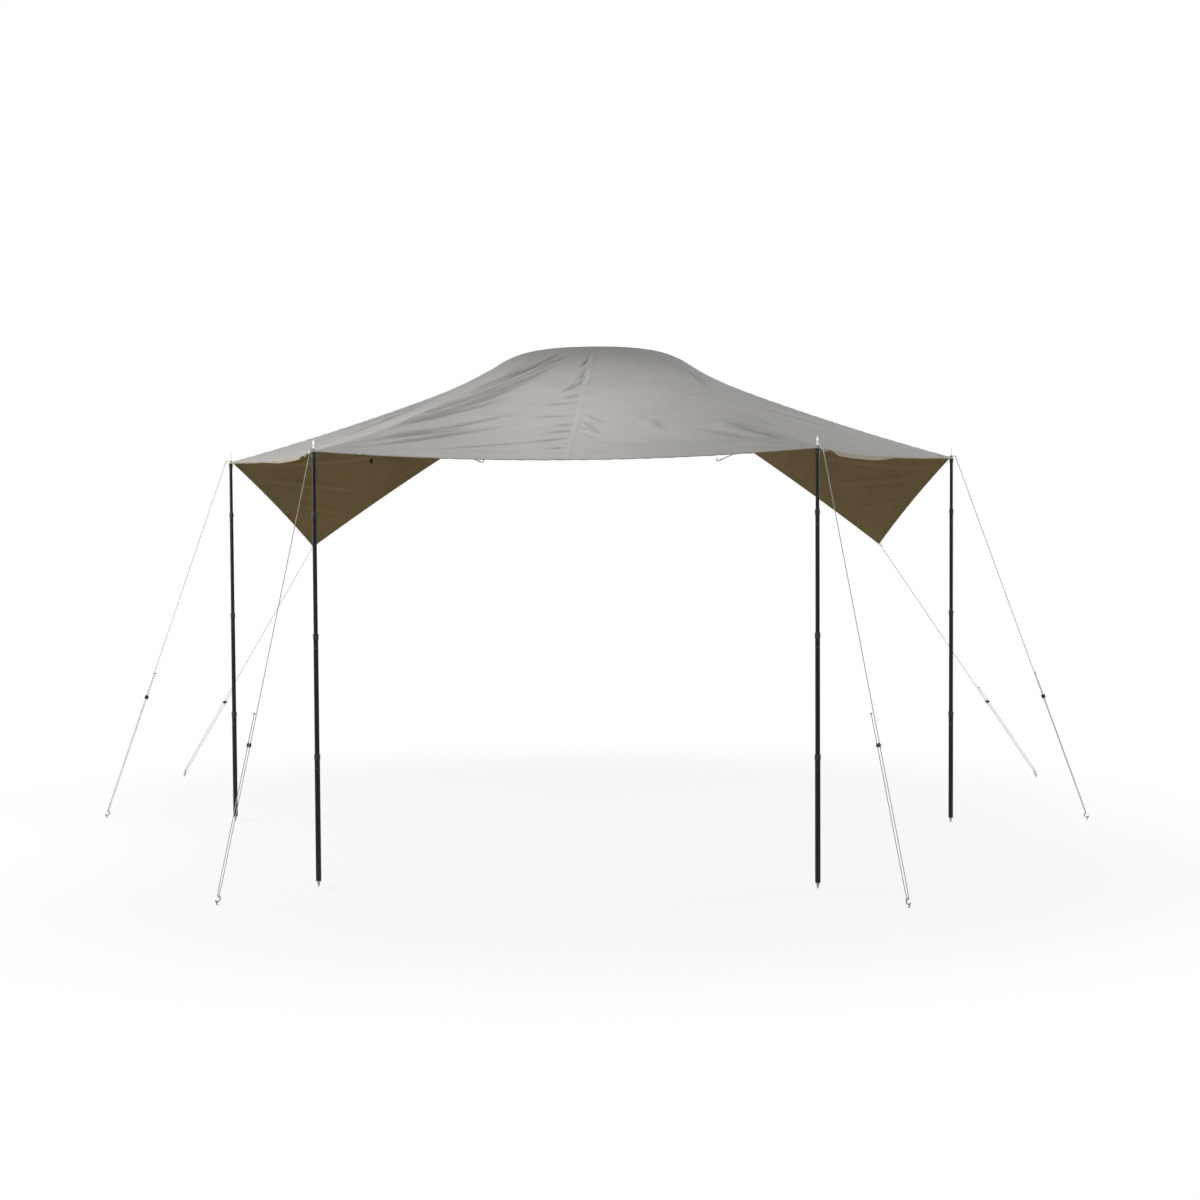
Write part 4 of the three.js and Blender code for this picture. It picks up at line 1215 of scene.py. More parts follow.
def tube_radius(level):
    return OUTER_TUBE_RADIUS - level * (TUBE_WALL + SLIDE_GAP)


def pole_tube(level):
    outer, bore = tube_radius(level), tube_radius(level) - TUBE_WALL
    foot = TUBE_FEET[level]
    head = TOP_TUBE_END if level == 3 else MOUTHS[level] - COLLAR_LIP
    soft = 0.0003
    lengths = [foot + soft + (head - foot - 2 * soft) * i / 8 for i in range(9)]
    made = turned(f"tube_{level}", [
        (bore, foot), (outer - soft, foot), *[(outer, z) for z in lengths],
        (outer - soft, head), (bore, head), (bore, foot)])
    heights = [] if level == 3 else [BUTTON_HEIGHTS[level]]
    if level > 0:
        heights += [BUTTON_HEIGHTS[level - 1], BUTTON_HEIGHTS[level - 1] + TRAVELS[level - 1]]
    for height in heights:
        cut(made, new_shape(
            "drill", bpy.ops.mesh.primitive_cylinder_add, vertices=24, radius=BUTTON_HOLE_RADIUS,
            depth=0.012, location=(0, -outer, height), rotation=(math.pi / 2, 0, 0)))
    smooth_by_angle(made, 35)
    return made


def collar(level):
    inner, mouth = tube_radius(level), MOUTHS[level]
    r, low = inner + 0.0021, mouth - COLLAR_HEIGHT
    outline = [(inner + 0.00005, low + 0.0002), (inner + 0.0009, low, True), (r - 0.0002, low + 0.0016, True)]
    for groove in range(4):
        z = low + 0.0062 + groove * 0.0028
        outline += [(r - 0.0002, z - 0.0008), (r - 0.0007, z - 0.0003, True), (r - 0.0007, z + 0.0003, True),
                    (r - 0.0002, z + 0.0008)]
    outline += [(r - 0.0002, mouth - 0.0078), (r, mouth - 0.0070, True), (r, mouth - 0.0012, True),
                (r - 0.0012, mouth, True), (inner - TUBE_WALL + 0.0001, mouth, True),
                (inner - TUBE_WALL + 0.0001, mouth - COLLAR_LIP), (inner + 0.00005, mouth - COLLAR_LIP),
                (inner + 0.00005, low + 0.0002)]
    made = turned(f"collar_{level}", rounded(outline, 0.0003, 2))
    smooth_by_angle(made, 40)
    return made


def push_button(level):
    """A domed steel button along -Y, which when pressed just clears the second tube inside."""
    inner = tube_radius(level + 1) * FLAT_SHARE + 0.00055
    outer = tube_radius(level) * FLAT_SHARE + BUTTON_PROUD
    length, dome_height = outer - inner, 0.0011
    dome = [(BUTTON_RADIUS * math.cos(a), length - dome_height + dome_height * math.sin(a))
            for a in np.linspace(0, math.pi / 2, 6)]
    made = turned(
        f"button_{level}", [(0, 0), (0.0026, 0), (BUTTON_RADIUS, 0.0004), *dome[:-1], (0, length)], steps=24)
    made.data.transform(
        Matrix.Translation((0, -inner, BUTTON_HEIGHTS[level])) @ Matrix.Rotation(math.pi / 2, 4, "X"))
    smooth_by_angle(made, 40)
    return made


def pole_plug():
    """The plug's head has a rounded foot, a shallow grip groove and a seat for the eyelet."""
    shank = tube_radius(3) - TUBE_WALL - SLIDE_GAP
    outline = [
        (0, PLUG_FOOT - 0.020), (shank - 0.0008, PLUG_FOOT - 0.020, True), (shank, PLUG_FOOT - 0.018),
        (shank, PLUG_FOOT), (0.0095, PLUG_FOOT, True), (0.011, PLUG_FOOT + 0.0022, True),
        (0.011, PLUG_FOOT + 0.009), (0.0104, PLUG_FOOT + 0.0098, True), (0.0104, PLUG_FOOT + 0.0122, True),
        (0.011, PLUG_FOOT + 0.013), (0.011, PLUG_TOP - 0.0016, True), (0.0098, PLUG_TOP, True),
        (0.0034, PLUG_TOP), (0.0034, PLUG_TOP - 0.002), (0, PLUG_TOP - 0.002)]
    made = turned("plug", rounded(outline, 0.0005, 2))
    smooth_by_angle(made, 40)
    return made


def pole_pin():
    top = CLOTH_HEIGHT + 0.048
    outline = [(0, PLUG_TOP - 0.0019), (PIN_RADIUS, PLUG_TOP - 0.0019), (PIN_RADIUS, CLOTH_HEIGHT + 0.030)]
    outline += [(PIN_RADIUS, top - 0.0075), (0.0029, top - 0.0068), (0.0029, top - 0.0052),
                (PIN_RADIUS, top - 0.0045)]
    outline += [(0.0016 + 0.00165 * math.cos(a), top - 0.0026 + 0.0026 * math.sin(a))
                for a in np.linspace(0, math.pi / 2, 6)]
    made = turned("pin", [*outline, (0, top)], steps=32)
    smooth_by_angle(made, 35)
    return made


def foot_cone():
    shank = tube_radius(0) - TUBE_WALL - SLIDE_GAP
    top = SPIKE_HEIGHT
    outline = [(0, 0), (0.0016, 0, True), (0.0024, 0.0012), (0.0082, top - 0.0045),
               (0.0105, top - 0.0030, True), (0.0105, top, True), (shank, top), (shank, top + 0.012),
               (0, top + 0.012)]
    made = turned("foot", rounded(outline, 0.0006, 2))
    smooth_by_angle(made, 35)
    return made


def eyelet(hole, outer, low, high, name):
    """A rolled metal ring: a barrel through the cloth with a rounded flange above and below it."""
    roll = (high - low) / 2
    middle = (high + low) / 2
    flange = [(hole + 0.0016 * (1 - math.sin(a)), middle + roll * math.cos(a))
              for a in np.linspace(0, math.pi, 9)]
    inner = flange[::-1]
    outline = [*inner, (outer - 0.002, high - 0.0003), (outer, high - 0.0014),
               (outer - 0.0004, high - 0.0022), (outer - 0.0022, high - 0.0020)]
    outline += [(outer - 0.0022, low + 0.0020), (outer - 0.0004, low + 0.0022), (outer, low + 0.0014),
                (outer - 0.002, low + 0.0003), inner[0]]
    made = turned(name, outline, steps=40)
    smooth_by_angle(made, 50)
    return made


def pin_washer():
    """A nylon ring between the eyelet and the cord's eye."""
    low, high = CLOTH_HEIGHT + 0.0030, CLOTH_HEIGHT + EYE_HEIGHT
    outline = [(0.0035, low), (0.0092, low, True), (0.0092, high, True), (0.0035, high, True), (0.0035, low)]
    made = turned("washer", rounded(outline, 0.0006, 2))
    smooth_by_angle(made, 40)
    return made


tubes = [pole_tube(level) for level in range(4)]
collars = [collar(level) for level in range(3)]
buttons = [push_button(level) for level in range(3)]
plug, pin_rod, foot = pole_plug(), pole_pin(), foot_cone()
ring = eyelet(hole=0.0046, outer=0.011, low=CLOTH_HEIGHT - 0.0058, high=CLOTH_HEIGHT + 0.0028, name="ring")
washer = pin_washer()
print("pole parts made; mouths at", [round(m, 4) for m in MOUTHS])

# %% Poles put together
SLOTS = {}


def goes_on(piece, body, slot, *nodes):
    """Gives a finished piece its body, its finish in the record, and the CAD nodes that it stands for."""
    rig.ride(piece, body)
    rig.slot(piece, slot)
    if nodes:
        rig.replaces(piece, *nodes)
    SLOTS.setdefault(slot, []).append(piece)
    return piece


for pole_name, pin in PIN_PLACES.items():
    shift = (pin[0], pin[1], 0)
    for level, level_name in enumerate(LEVELS):
        body = "awning" if level == 3 else f"{pole_name}_{level_name}_tube"
        goes_on(copied(tubes[level], f"{pole_name}_tube_{level_name}", shift), body, "pole_tube",
                f"{pole_name}_pole_{level_name}")
        if level < 3:
            goes_on(copied(collars[level], f"{pole_name}_collar_{level_name}", shift), body, "pole_tube")
            goes_on(copied(buttons[level], f"{pole_name}_snap_{level_name}", shift),
                    f"{pole_name}_{level_name}_push_button", "button_steel",
                    f"{pole_name}_button_{level_name}")
    goes_on(copied(plug, f"{pole_name}_plug", shift), "awning", "pin_steel")
    goes_on(copied(pin_rod, f"{pole_name}_pin_rod", shift), "awning", "pin_steel", f"{pole_name}_pin")
    goes_on(copied(foot, f"{pole_name}_foot_cone", shift), f"{pole_name}_base_tube", "spike_steel",
            f"{pole_name}_foot_spike")
    goes_on(copied(ring, f"{pole_name}_eyelet", shift), "awning", "pin_steel")
    goes_on(copied(washer, f"{pole_name}_washer", shift), "awning", "runner_plastic")
for part in [*tubes, *collars, *buttons, plug, pin_rod, foot, ring, washer]:
    bpy.data.objects.remove(part)
print(len(PIN_PLACES), "poles stand at", {k: tuple(v.round(3)) for k, v in PIN_PLACES.items()})

# %% [markdown]
# ## Runners, pegs and the small things on the cords
# A runner is a flat plastic slider with a hole for each strand. A peg is a round steel wire bent to a hook;
# only the part above the ground shows. Each eye is held by a short sleeve, and each tail ends in a knot.

# %% Runners
def placed(piece, x_axis, y_axis, z_axis, middle):
    """Turns a piece that was made at the origin to three axes and moves it, in its mesh."""
    turn = Matrix((x_axis, y_axis, z_axis)).transposed().to_4x4()
    piece.data.transform(Matrix.Translation(middle) @ turn)
    return piece


def stadium(name, length, width, thickness, edge):
    """A flat block with fully round ends: a disc pulled apart, raised, and softened round its rims."""
    made = new_shape(name, bpy.ops.mesh.primitive_circle_add, vertices=36, radius=width / 2, fill_type="NGON",
                     location=(0, 0, -thickness / 2), rotation=(0, 0, math.pi / 36))
    settle(made)
    for vertex in made.data.vertices:
        vertex.co.x += math.copysign((length - width) / 2, vertex.co.x)
    select_only(made)
    bpy.ops.object.mode_set(mode="EDIT")
    bpy.ops.mesh.select_all(action="SELECT")
    bpy.ops.mesh.extrude_region_move(TRANSFORM_OT_translate={"value": (0, 0, thickness)})
    bpy.ops.mesh.select_all(action="SELECT")
    bpy.ops.mesh.normals_make_consistent(inside=False)
    bpy.ops.mesh.select_all(action="DESELECT")
    bpy.ops.object.mode_set(mode="OBJECT")
    for line in made.data.edges:
        a, b = (made.data.vertices[i].co for i in line.vertices)
        line.select = abs(a.z - b.z) < thickness / 2
    bpy.ops.object.mode_set(mode="EDIT")
    bpy.ops.mesh.select_mode(type="EDGE")
    bpy.ops.mesh.bevel(offset=edge, offset_type="OFFSET", segments=3, affect="EDGES")
    bpy.ops.object.mode_set(mode="OBJECT")
    made.select_set(False)
    return made


def line_slider():
    made = stadium("slider", length=0.032, width=0.012, thickness=0.0056, edge=0.0010)
    drills = [new_shape("drill", bpy.ops.mesh.primitive_cylinder_add, vertices=24, radius=radius, depth=0.02,
                        location=(x, y, 0))
              for x, y, radius in ((-STRAND_HALF_SPACING, 0, 0.0024), (STRAND_HALF_SPACING, 0, 0.0024),
                                   (0, 0, 0.0018), (0, 0.0078, 0.0032), (0, -0.0078, 0.0032))]
    cut(made, *drills)
    smooth_by_angle(made, 45)
    return made


slider = line_slider()
print("slider has", len(slider.data.polygons), "faces")

# %% Wire pegs
def wire_peg():
    start, end = math.radians(205), math.radians(-20)
    first = place(HOOK_RADIUS * math.cos(start), 0, HOOK_HEIGHT + HOOK_RADIUS * math.sin(start))
    down = place(-math.sin(start), 0, math.cos(start))
    stem = (first[2] + 0.006) / -down[2]
    low = first + down * stem
    made = new_shape(
        "peg", bpy.ops.mesh.primitive_circle_add, vertices=20, radius=PEG_WIRE_RADIUS, fill_type="NGON",
        location=low, rotation=(0, math.atan2(-down[0], -down[2]), 0))
    settle(made)
    select_only(made)
    bpy.ops.object.mode_set(mode="EDIT")
    bpy.ops.mesh.select_all(action="SELECT")
    bpy.ops.mesh.extrude_region_move(TRANSFORM_OT_translate={"value": tuple(-down * stem)})
    bpy.ops.mesh.spin(steps=28, angle=start - end, center=(0, 0, HOOK_HEIGHT), axis=(0, 1, 0))
    for far, share in ((0.0010, 0.93), (0.0009, 0.80), (0.0006, 0.55)):
        way = place(math.sin(end), 0, -math.cos(end)) * far
        bpy.ops.mesh.extrude_region_move(TRANSFORM_OT_translate={"value": tuple(way)})
        bpy.ops.transform.resize(value=(share, share, share))
    bpy.ops.mesh.select_all(action="SELECT")
    bpy.ops.mesh.bisect(plane_co=(0, 0, 0.0001), plane_no=(0, 0, 1), use_fill=True, clear_inner=True)
    bpy.ops.mesh.select_all(action="SELECT")
    bpy.ops.mesh.remove_doubles(threshold=0.00001)
    bpy.ops.mesh.normals_make_consistent(inside=False)
    bpy.ops.object.mode_set(mode="OBJECT")
    smooth_by_angle(made, 40)
    return made


peg = wire_peg()
low = [min(v.co[i] for v in peg.data.vertices) for i in range(3)]
high = [max(v.co[i] for v in peg.data.vertices) for i in range(3)]
print("peg from", [round(c, 4) for c in low], "to", [round(c, 4) for c in high])

# %% Knots and sleeves
def knot_route(middle, way, size, steps=56):
    """The loops of an overhand knot pulled tight, round the line `way`."""
    aside = unit(np.cross(way, UP if abs(way[2]) < 0.9 else place(1, 0, 0)))
    other = np.cross(way, aside)
    t = np.linspace(0, 2 * math.pi * 0.985, steps)
    x, y, z = np.sin(t) + 2 * np.sin(2 * t), np.cos(t) - 2 * np.cos(2 * t), -np.sin(3 * t)
    return middle + size * (x[:, None] * aside + y[:, None] * other + 1.15 * z[:, None] * way)


sleeve = stadium("sleeve", length=0.0100, width=0.0054, thickness=0.012, edge=0.0009)
smooth_by_angle(sleeve, 45)
for line_name, line in lines.items():
    spine, hook, route, cord = line["spine"], line["hook"], line["route"], line["cord"]
    rise, aside, level = spine["rise"], spine["aside"], spine["level"]
    goes_on(cord, "awning", "line_cord", f"{line_name}_guyline")
    middle = hook + rise * spine["length"] / 3
    runner = placed(copied(slider, f"{line_name}_slider"), aside, np.cross(rise, aside), rise, middle)
    goes_on(runner, f"{line_name}_line_runner", "runner_plastic", f"{line_name}_runner")
    wire = placed(copied(peg, f"{line_name}_wire_peg"), level, np.cross(UP, level), UP, hook * (1, 1, 0))
    goes_on(wire, "awning", "peg_steel", f"{line_name}_peg")
    tail_way = unit(route[-1] - route[-2])
    knot = tube(f"{line_name}_tail_knot", knot_route(route[-1] - tail_way * 0.004, tail_way, 0.0016),
                0.0016, 10)
    goes_on(knot, "awning", "line_cord")
    if line_name.startswith("wing"):
        way = unit(route[1] - route[0])
        wide = unit(np.cross(way, route[len(EYE_TURN) // 2] - route[0]))
        wide = np.cross(wide, way)
        centre = (route[0] + route[2 + len(EYE_TURN)]) / 2 + way * 0.005
    else:
        way, wide = rise, aside
        centre = route[0] + rise * 0.0055 - aside * 0.00235
    band = placed(copied(sleeve, f"{line_name}_sleeve"), wide, np.cross(way, wide), way, centre)
    goes_on(band, "awning", "runner_plastic")
    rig.cord(cord, exit=route[0], length=runs(route)[-1], diameter=2 * CORD_RADIUS, far_end="knot",
            stiffness="limp", lay="taut", path=route, with_pieces=[runner, wire, knot, band])
for part in (slider, peg, sleeve):
    bpy.data.objects.remove(part)
print("cords declared:", sorted(lines))

# %% [markdown]
# ## Ties, toggles and snaps
# Each wing's rear corner is held back by a short dark cord that is knotted behind an eyelet and ends in a
# hook. A small fabric tab hangs inside the left wing, and two snaps sit on the front hem beside it, where the
# rolled-up cloth is strapped.

# %% Rear ties
TIE_CORD_RADIUS, TIE_KNOT_RADIUS, TIE_WIRE_RADIUS = 0.0023, 0.0017, 0.0021
TIE_HOOK_RADIUS, CRIMP_SETBACK = 0.009, 0.016

for side_name, side in SIDES.items():
    hole = tie_eyelet(side)
    hook_at = place(side * 0.727, ARCH_Y, 2.036)
    out = towards(hole, hook_at, 1)
    knot_middle = hole - out * 0.0096
    straight_end = hook_at - out * TIE_HOOK_RADIUS
    down = np.cross(out, place(0, -1, 0)) * side
    bend_middle = straight_end + down * TIE_HOOK_RADIUS
    bend = [bend_middle + out * TIE_HOOK_RADIUS * math.sin(a) - down * TIE_HOOK_RADIUS * math.cos(a)
            for a in np.radians(np.linspace(0, 200, 22))]
    route = np.array([knot_middle, *[knot_middle + (straight_end - out * 0.012 - knot_middle) * s
                                     for s in np.linspace(0.08, 1, 8)]])
    tie_cord = tube(f"rear_{side_name}_tie_cord", route, TIE_CORD_RADIUS)
    knot_line = knot_route(knot_middle, out, TIE_KNOT_RADIUS)
    knot = tube(f"rear_{side_name}_tie_knot", knot_line, TIE_KNOT_RADIUS, 10)
    crimp_middle = straight_end - out * CRIMP_SETBACK
    hook_wire = tube(f"rear_{side_name}_tie_hook", [crimp_middle, *bend], TIE_WIRE_RADIUS, 16)
    crimp = turned(f"rear_{side_name}_tie_crimp", rounded([
        (0, -0.009), (0.0036, -0.009, True), (0.0039, -0.006), (0.0034, -0.005), (0.0034, 0.005),
        (0.0039, 0.006), (0.0036, 0.009, True), (0, 0.009)], 0.0008, 3), steps=24)
    across = unit(np.cross(UP, out))
    placed(crimp, across, np.cross(out, across), out, crimp_middle)
    smooth_by_angle(crimp, 40)
    goes_on(tie_cord, "awning", "tie_cord", f"rear_tie_{side_name}")
    for piece in (knot, hook_wire, crimp):
        goes_on(piece, "awning", "tie_cord")
    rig.cord(tie_cord, exit=route[0], length=runs(route)[-1], diameter=2 * TIE_CORD_RADIUS, far_end="fitting",
            stiffness="limp", lay="taut", path=route, with_pieces=[knot, hook_wire, crimp])
    print("tie", side_name, round(runs(route)[-1], 3), "m")

# %% Tab, snaps, and the cloth's own pieces
PICTURE_WIDTH = 1200
TAB_PIXEL = (371.6, 459)


def sight_line(x_pixel, y_pixel):
    """The way out of the camera through a place in the square picture."""
    reach = camera_data.lens / camera_data.sensor_width * PICTURE_WIDTH
    middle = PICTURE_WIDTH / 2
    local = Vector(((x_pixel - middle) / reach, (middle - y_pixel) / reach, -1))
    return camera.matrix_world.to_3x3() @ local


def seen_on(piece, x_pixel, y_pixel):
    """Where that line of sight meets a piece, and the piece's normal there."""
    hit, found, normal, _ = piece.ray_cast(camera.location, sight_line(x_pixel, y_pixel))
    return np.array(found), np.array(normal), hit


tab_at, tab_normal, tab_found = seen_on(wing_grids["left"]["piece"], *TAB_PIXEL)
print("tab", tab_found, tab_at.round(3), tab_normal.round(2))
tab_outline = [(-0.0085, 0.002), (-0.0105, -0.012), (-0.0125, -0.030), (-0.0085, -0.034),
               (0.0085, -0.034), (0.0125, -0.030), (0.0105, -0.012), (0.0085, 0.002)]
tab_side = unit(np.cross(UP, tab_normal))
tab_up = np.cross(tab_normal, tab_side)
tab = new_shape("wing_left_tab", bpy.ops.mesh.primitive_circle_add, vertices=8, radius=0.01, fill_type="NGON")
settle(tab)
for vertex, (x, y) in zip(tab.data.vertices, tab_outline):
    vertex.co = (x, y, 0)
select_only(tab)
bpy.ops.object.mode_set(mode="EDIT")
bpy.ops.mesh.select_all(action="SELECT")
bpy.ops.mesh.extrude_region_move(TRANSFORM_OT_translate={"value": (0, 0, 0.0022)})
bpy.ops.mesh.select_all(action="SELECT")
bpy.ops.mesh.normals_make_consistent(inside=False)
bpy.ops.mesh.bevel(offset=0.0006, segments=2, affect="EDGES")
bpy.ops.object.mode_set(mode="OBJECT")
placed(tab, tab_side, tab_up, tab_normal, tab_at + tab_normal * 0.0008)
smooth_by_angle(tab, 40)
goes_on(tab, "awning", "tie_cord")

snap_shape = turned("snap", rounded([
    (0, -0.0002), (0.0064, -0.0002), (0.0066, 0.0010, True), (0.0058, 0.0021, True), (0.0030, 0.0022),
    (0.0026, 0.0016, True), (0, 0.0016)], 0.0004, 2), steps=28)
smooth_by_angle(snap_shape, 40)
SNAP_PLACES = (-0.962, -0.926)
for number, x in enumerate(SNAP_PLACES, 1):
    hem_share = 0.5 + x / 2 / overhung(front_pin(1))[0]
    edge = front_hem(hem_share)
    middle, normal = on_roof(x, edge[1] + 0.012)
    across = unit(np.cross(place(0, 1, 0), normal))
    for level, way in (("top", 1), ("under", -1)):
        snap = placed(copied(snap_shape, f"front_hem_snap_{number}_{level}"), across,
                      np.cross(normal * way, across), normal * way,
                      middle + normal * way * (CLOTH_THICKNESS / 2 + (HEM_STAND if way < 0 else 0)))
        goes_on(snap, "awning", "runner_plastic")
bpy.data.objects.remove(snap_shape)

goes_on(roof, "awning", "canopy_cloth", "roof_panel")
goes_on(bead, "awning", "edge_bead", "rear_edge_bead")
for side_name, grid in wing_grids.items():
    goes_on(grid["piece"], "awning", "canopy_cloth", f"wing_{side_name}")
    goes_on(wing_threads[side_name], "awning", "canopy_cloth")
for piece in [seam_tape, roof_thread, *patches]:
    goes_on(piece, "awning", "canopy_cloth")


def grid_area(points):
    across = points[:-1, 1:] - points[1:, :-1]
    back = points[1:, 1:] - points[:-1, :-1]
    return np.linalg.norm(np.cross(across, back), axis=-1).sum() / 2


roof_area = grid_area(roof_points)
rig.sheet(roof, flat=(4.03, 3.36), area=roof_area, held="stretched",
         rests_on=[f"{name}_pin_rod" for name in PIN_PLACES] + ["arch_keder_bead"],
         with_pieces=[seam_tape, roof_thread, bead, *patches])
for side_name, grid in wing_grids.items():
    area = grid_area(grid["points"])
    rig.sheet(grid["piece"], flat=(1.66, 0.82), area=area, held="hung", rests_on=["roof_cloth"],
             with_pieces=[wing_threads[side_name]])
    print("wing", side_name, "area", area.round(3))
print("roof area", roof_area.round(3))

# %% [markdown]
# ## Finishes shared by many pieces
# Some effects turn up on more than one piece: a soft unevenness, the weave of the cloth, a braid, a fine
# grain, wear on raised edges, and dust that settles near the ground. Each is built once as a node group with
# named inputs, and every material places it with its own values.

# %% Helpers for node trees
def add_node(tree, kind, inputs=None, **settings):
    made = tree.nodes.new(kind)
    for key, value in settings.items():
        setattr(made, key, value)
    for key, value in (inputs or {}).items():
        if isinstance(value, bpy.types.NodeSocket):
            tree.links.new(value, made.inputs[key])
        else:
            made.inputs[key].default_value = value
    return made


def maths(tree, operation, first, second=0.0, third=0.0, clamp=False):
    made = add_node(
        tree, "ShaderNodeMath", {0: first, 1: second, 2: third}, operation=operation, use_clamp=clamp)
    return made.outputs[0]


def remap(tree, value, low, high, to_low=0.0, to_high=1.0, smooth=True):
    made = add_node(tree, "ShaderNodeMapRange", {
        "Value": value, "From Min": low, "From Max": high, "To Min": to_low, "To Max": to_high},
        interpolation_type="SMOOTHSTEP" if smooth else "LINEAR")
    return made.outputs["Result"]


def mixed(tree, share, first, second):
    made = add_node(tree, "ShaderNodeMix", data_type="RGBA")
    for socket, value in zip([made.inputs[0], made.inputs[6], made.inputs[7]], (share, first, second)):
        if isinstance(value, bpy.types.NodeSocket):
            tree.links.new(value, socket)
        else:
            socket.default_value = value
    return made.outputs[2]


def noise(tree, vector, scale, detail=3.0, roughness=0.55, distortion=0.0):
    made = add_node(tree, "ShaderNodeTexNoise", {
        "Vector": vector, "Scale": scale, "Detail": detail, "Roughness": roughness, "Distortion": distortion})
    return made.outputs["Fac"]


def effect(name, inputs, outputs, build):
    """A node group. `inputs` and `outputs` are {name: kind}, and `build` fills it."""
    tree = bpy.data.node_groups.new(name, "ShaderNodeTree")
    for label, kind in inputs.items():
        tree.interface.new_socket(label, in_out="INPUT", socket_type=f"NodeSocket{kind}")
    for label, kind in outputs.items():
        tree.interface.new_socket(label, in_out="OUTPUT", socket_type=f"NodeSocket{kind}")
    given = tree.nodes.new("NodeGroupInput").outputs
    results = build(tree, given)
    taken = tree.nodes.new("NodeGroupOutput").inputs
    for label, socket in results.items():
        tree.links.new(socket, taken[label])
    return tree


def use(tree, group, inputs):
    return add_node(tree, "ShaderNodeGroup", inputs, node_tree=group).outputs


def srgb(red, green, blue):
    """A colour as it is read off a screen, 0 to 255, made linear."""
    def linear(c):
        c = c / 255
        return c / 12.92 if c <= 0.04045 else ((c + 0.055) / 1.055) ** 2.4
    return (linear(red), linear(green), linear(blue), 1)


# %% The shared effects
def build_mottle(tree, given):
    broad = noise(tree, given["Vector"], given["Scale"], 2.0, 0.5)
    spots_scale = maths(tree, "MULTIPLY", given["Scale"], 7.3)
    spots = noise(tree, given["Vector"], spots_scale, 3.0, 0.6)
    both = maths(tree, "MULTIPLY_ADD", spots, 0.35, maths(tree, "MULTIPLY", broad, 0.65))
    return {"Mask": remap(tree, both, 0.35, 0.65)}


mottle = effect("soft mottle", {"Vector": "Vector", "Scale": "Float"}, {"Mask": "Float"}, build_mottle)


def build_weave(tree, given):
    """Threads over and under, with a stronger grid of doubled threads every few millimetres."""
    apart = add_node(tree, "ShaderNodeSeparateXYZ", {0: given["Map"]}).outputs
    threads, grids = [], []
    for axis in (0, 1):
        turn = maths(tree, "MULTIPLY", apart[axis], maths(tree, "DIVIDE", 2 * math.pi, given["Thread"]))
        threads.append(maths(tree, "SINE", turn))
        cell = maths(tree, "FRACT", maths(tree, "DIVIDE", apart[axis], given["Grid"]))
        near = maths(tree, "ABSOLUTE", maths(tree, "SUBTRACT", cell, 0.5))
        grids.append(remap(tree, near, 0.09, 0.05))
    cross = maths(tree, "MULTIPLY", threads[0], threads[1])
    grid = maths(tree, "MAXIMUM", grids[0], grids[1])
    height = maths(tree, "MULTIPLY_ADD", cross, 0.25, maths(tree, "MULTIPLY", grid, 0.8))
    return {"Height": height, "Grid": grid}


weave = effect("ripstop weave", {"Map": "Vector", "Thread": "Float", "Grid": "Float"},
               {"Height": "Float", "Grid": "Float"}, build_weave)


def build_crinkle(tree, given):
    """The fine creases of a coated cloth that has been folded and rolled."""
    bent = noise(tree, given["Vector"], given["Scale"], 4.0, 0.6, 0.6)
    fine = noise(tree, given["Vector"], maths(tree, "MULTIPLY", given["Scale"], 3.1), 3.0, 0.5, 0.4)
    crease = maths(tree, "ABSOLUTE", maths(tree, "SUBTRACT", bent, 0.5))
    small = maths(tree, "ABSOLUTE", maths(tree, "SUBTRACT", fine, 0.5))
    sharp = remap(tree, crease, 0.0, 0.10)
    return {"Height": maths(tree, "MULTIPLY_ADD", remap(tree, small, 0.0, 0.14), 0.35, sharp),
            "Crease": maths(tree, "SUBTRACT", 1.0, sharp)}


crinkle = effect("crinkle", {"Vector": "Vector", "Scale": "Float"}, {"Height": "Float", "Crease": "Float"},
                 build_crinkle)


def build_braid(tree, given):
    """Two sets of strands that wind round a cord in opposite ways and pass over and under each other."""
    apart = add_node(tree, "ShaderNodeSeparateXYZ", {0: given["Map"]}).outputs
    lay = maths(tree, "DIVIDE", apart[1], given["Pitch"])
    waves = []
    for sign in (1.0, -1.0):
        turn = maths(tree, "MULTIPLY_ADD", apart[0], given["Strands"], maths(tree, "MULTIPLY", lay, sign))
        waves.append(maths(tree, "SINE", maths(tree, "MULTIPLY", turn, 2 * math.pi)))
    over = maths(tree, "MAXIMUM", waves[0], waves[1])
    slow_lay = maths(tree, "MULTIPLY", lay, 0.25)
    fleck_turn = maths(tree, "FRACT", maths(tree, "MULTIPLY_ADD", apart[0], 1.0, slow_lay))
    fleck = remap(tree, maths(tree, "ABSOLUTE", maths(tree, "SUBTRACT", fleck_turn, 0.5)), 0.10, 0.05)
    # The grooves between the strands give a mask for painted shade there.
    return {"Height": over, "Fleck": maths(tree, "MULTIPLY", fleck, remap(tree, waves[0], 0.2, 0.7)),
            "Groove": remap(tree, over, 0.1, -0.6)}


braid = effect("braid", {"Map": "Vector", "Strands": "Float", "Pitch": "Float"},
               {"Height": "Float", "Fleck": "Float", "Groove": "Float"}, build_braid)


def build_wear(tree, given):
    """Where raised edges are rubbed: the mesh's own pointedness, broken up by a fine unevenness."""
    pointed = add_node(tree, "ShaderNodeNewGeometry").outputs["Pointiness"]
    broken = noise(tree, given["Vector"], given["Scale"], 4.0, 0.65)
    edge = remap(tree, pointed, 0.52, 0.60)
    return {"Mask": maths(tree, "MULTIPLY", maths(
        tree, "MULTIPLY", edge, remap(tree, broken, 0.42, 0.62)), given["Amount"], clamp=True)}


wear = effect("edge wear", {"Vector": "Vector", "Scale": "Float", "Amount": "Float"}, {"Mask": "Float"},
              build_wear)


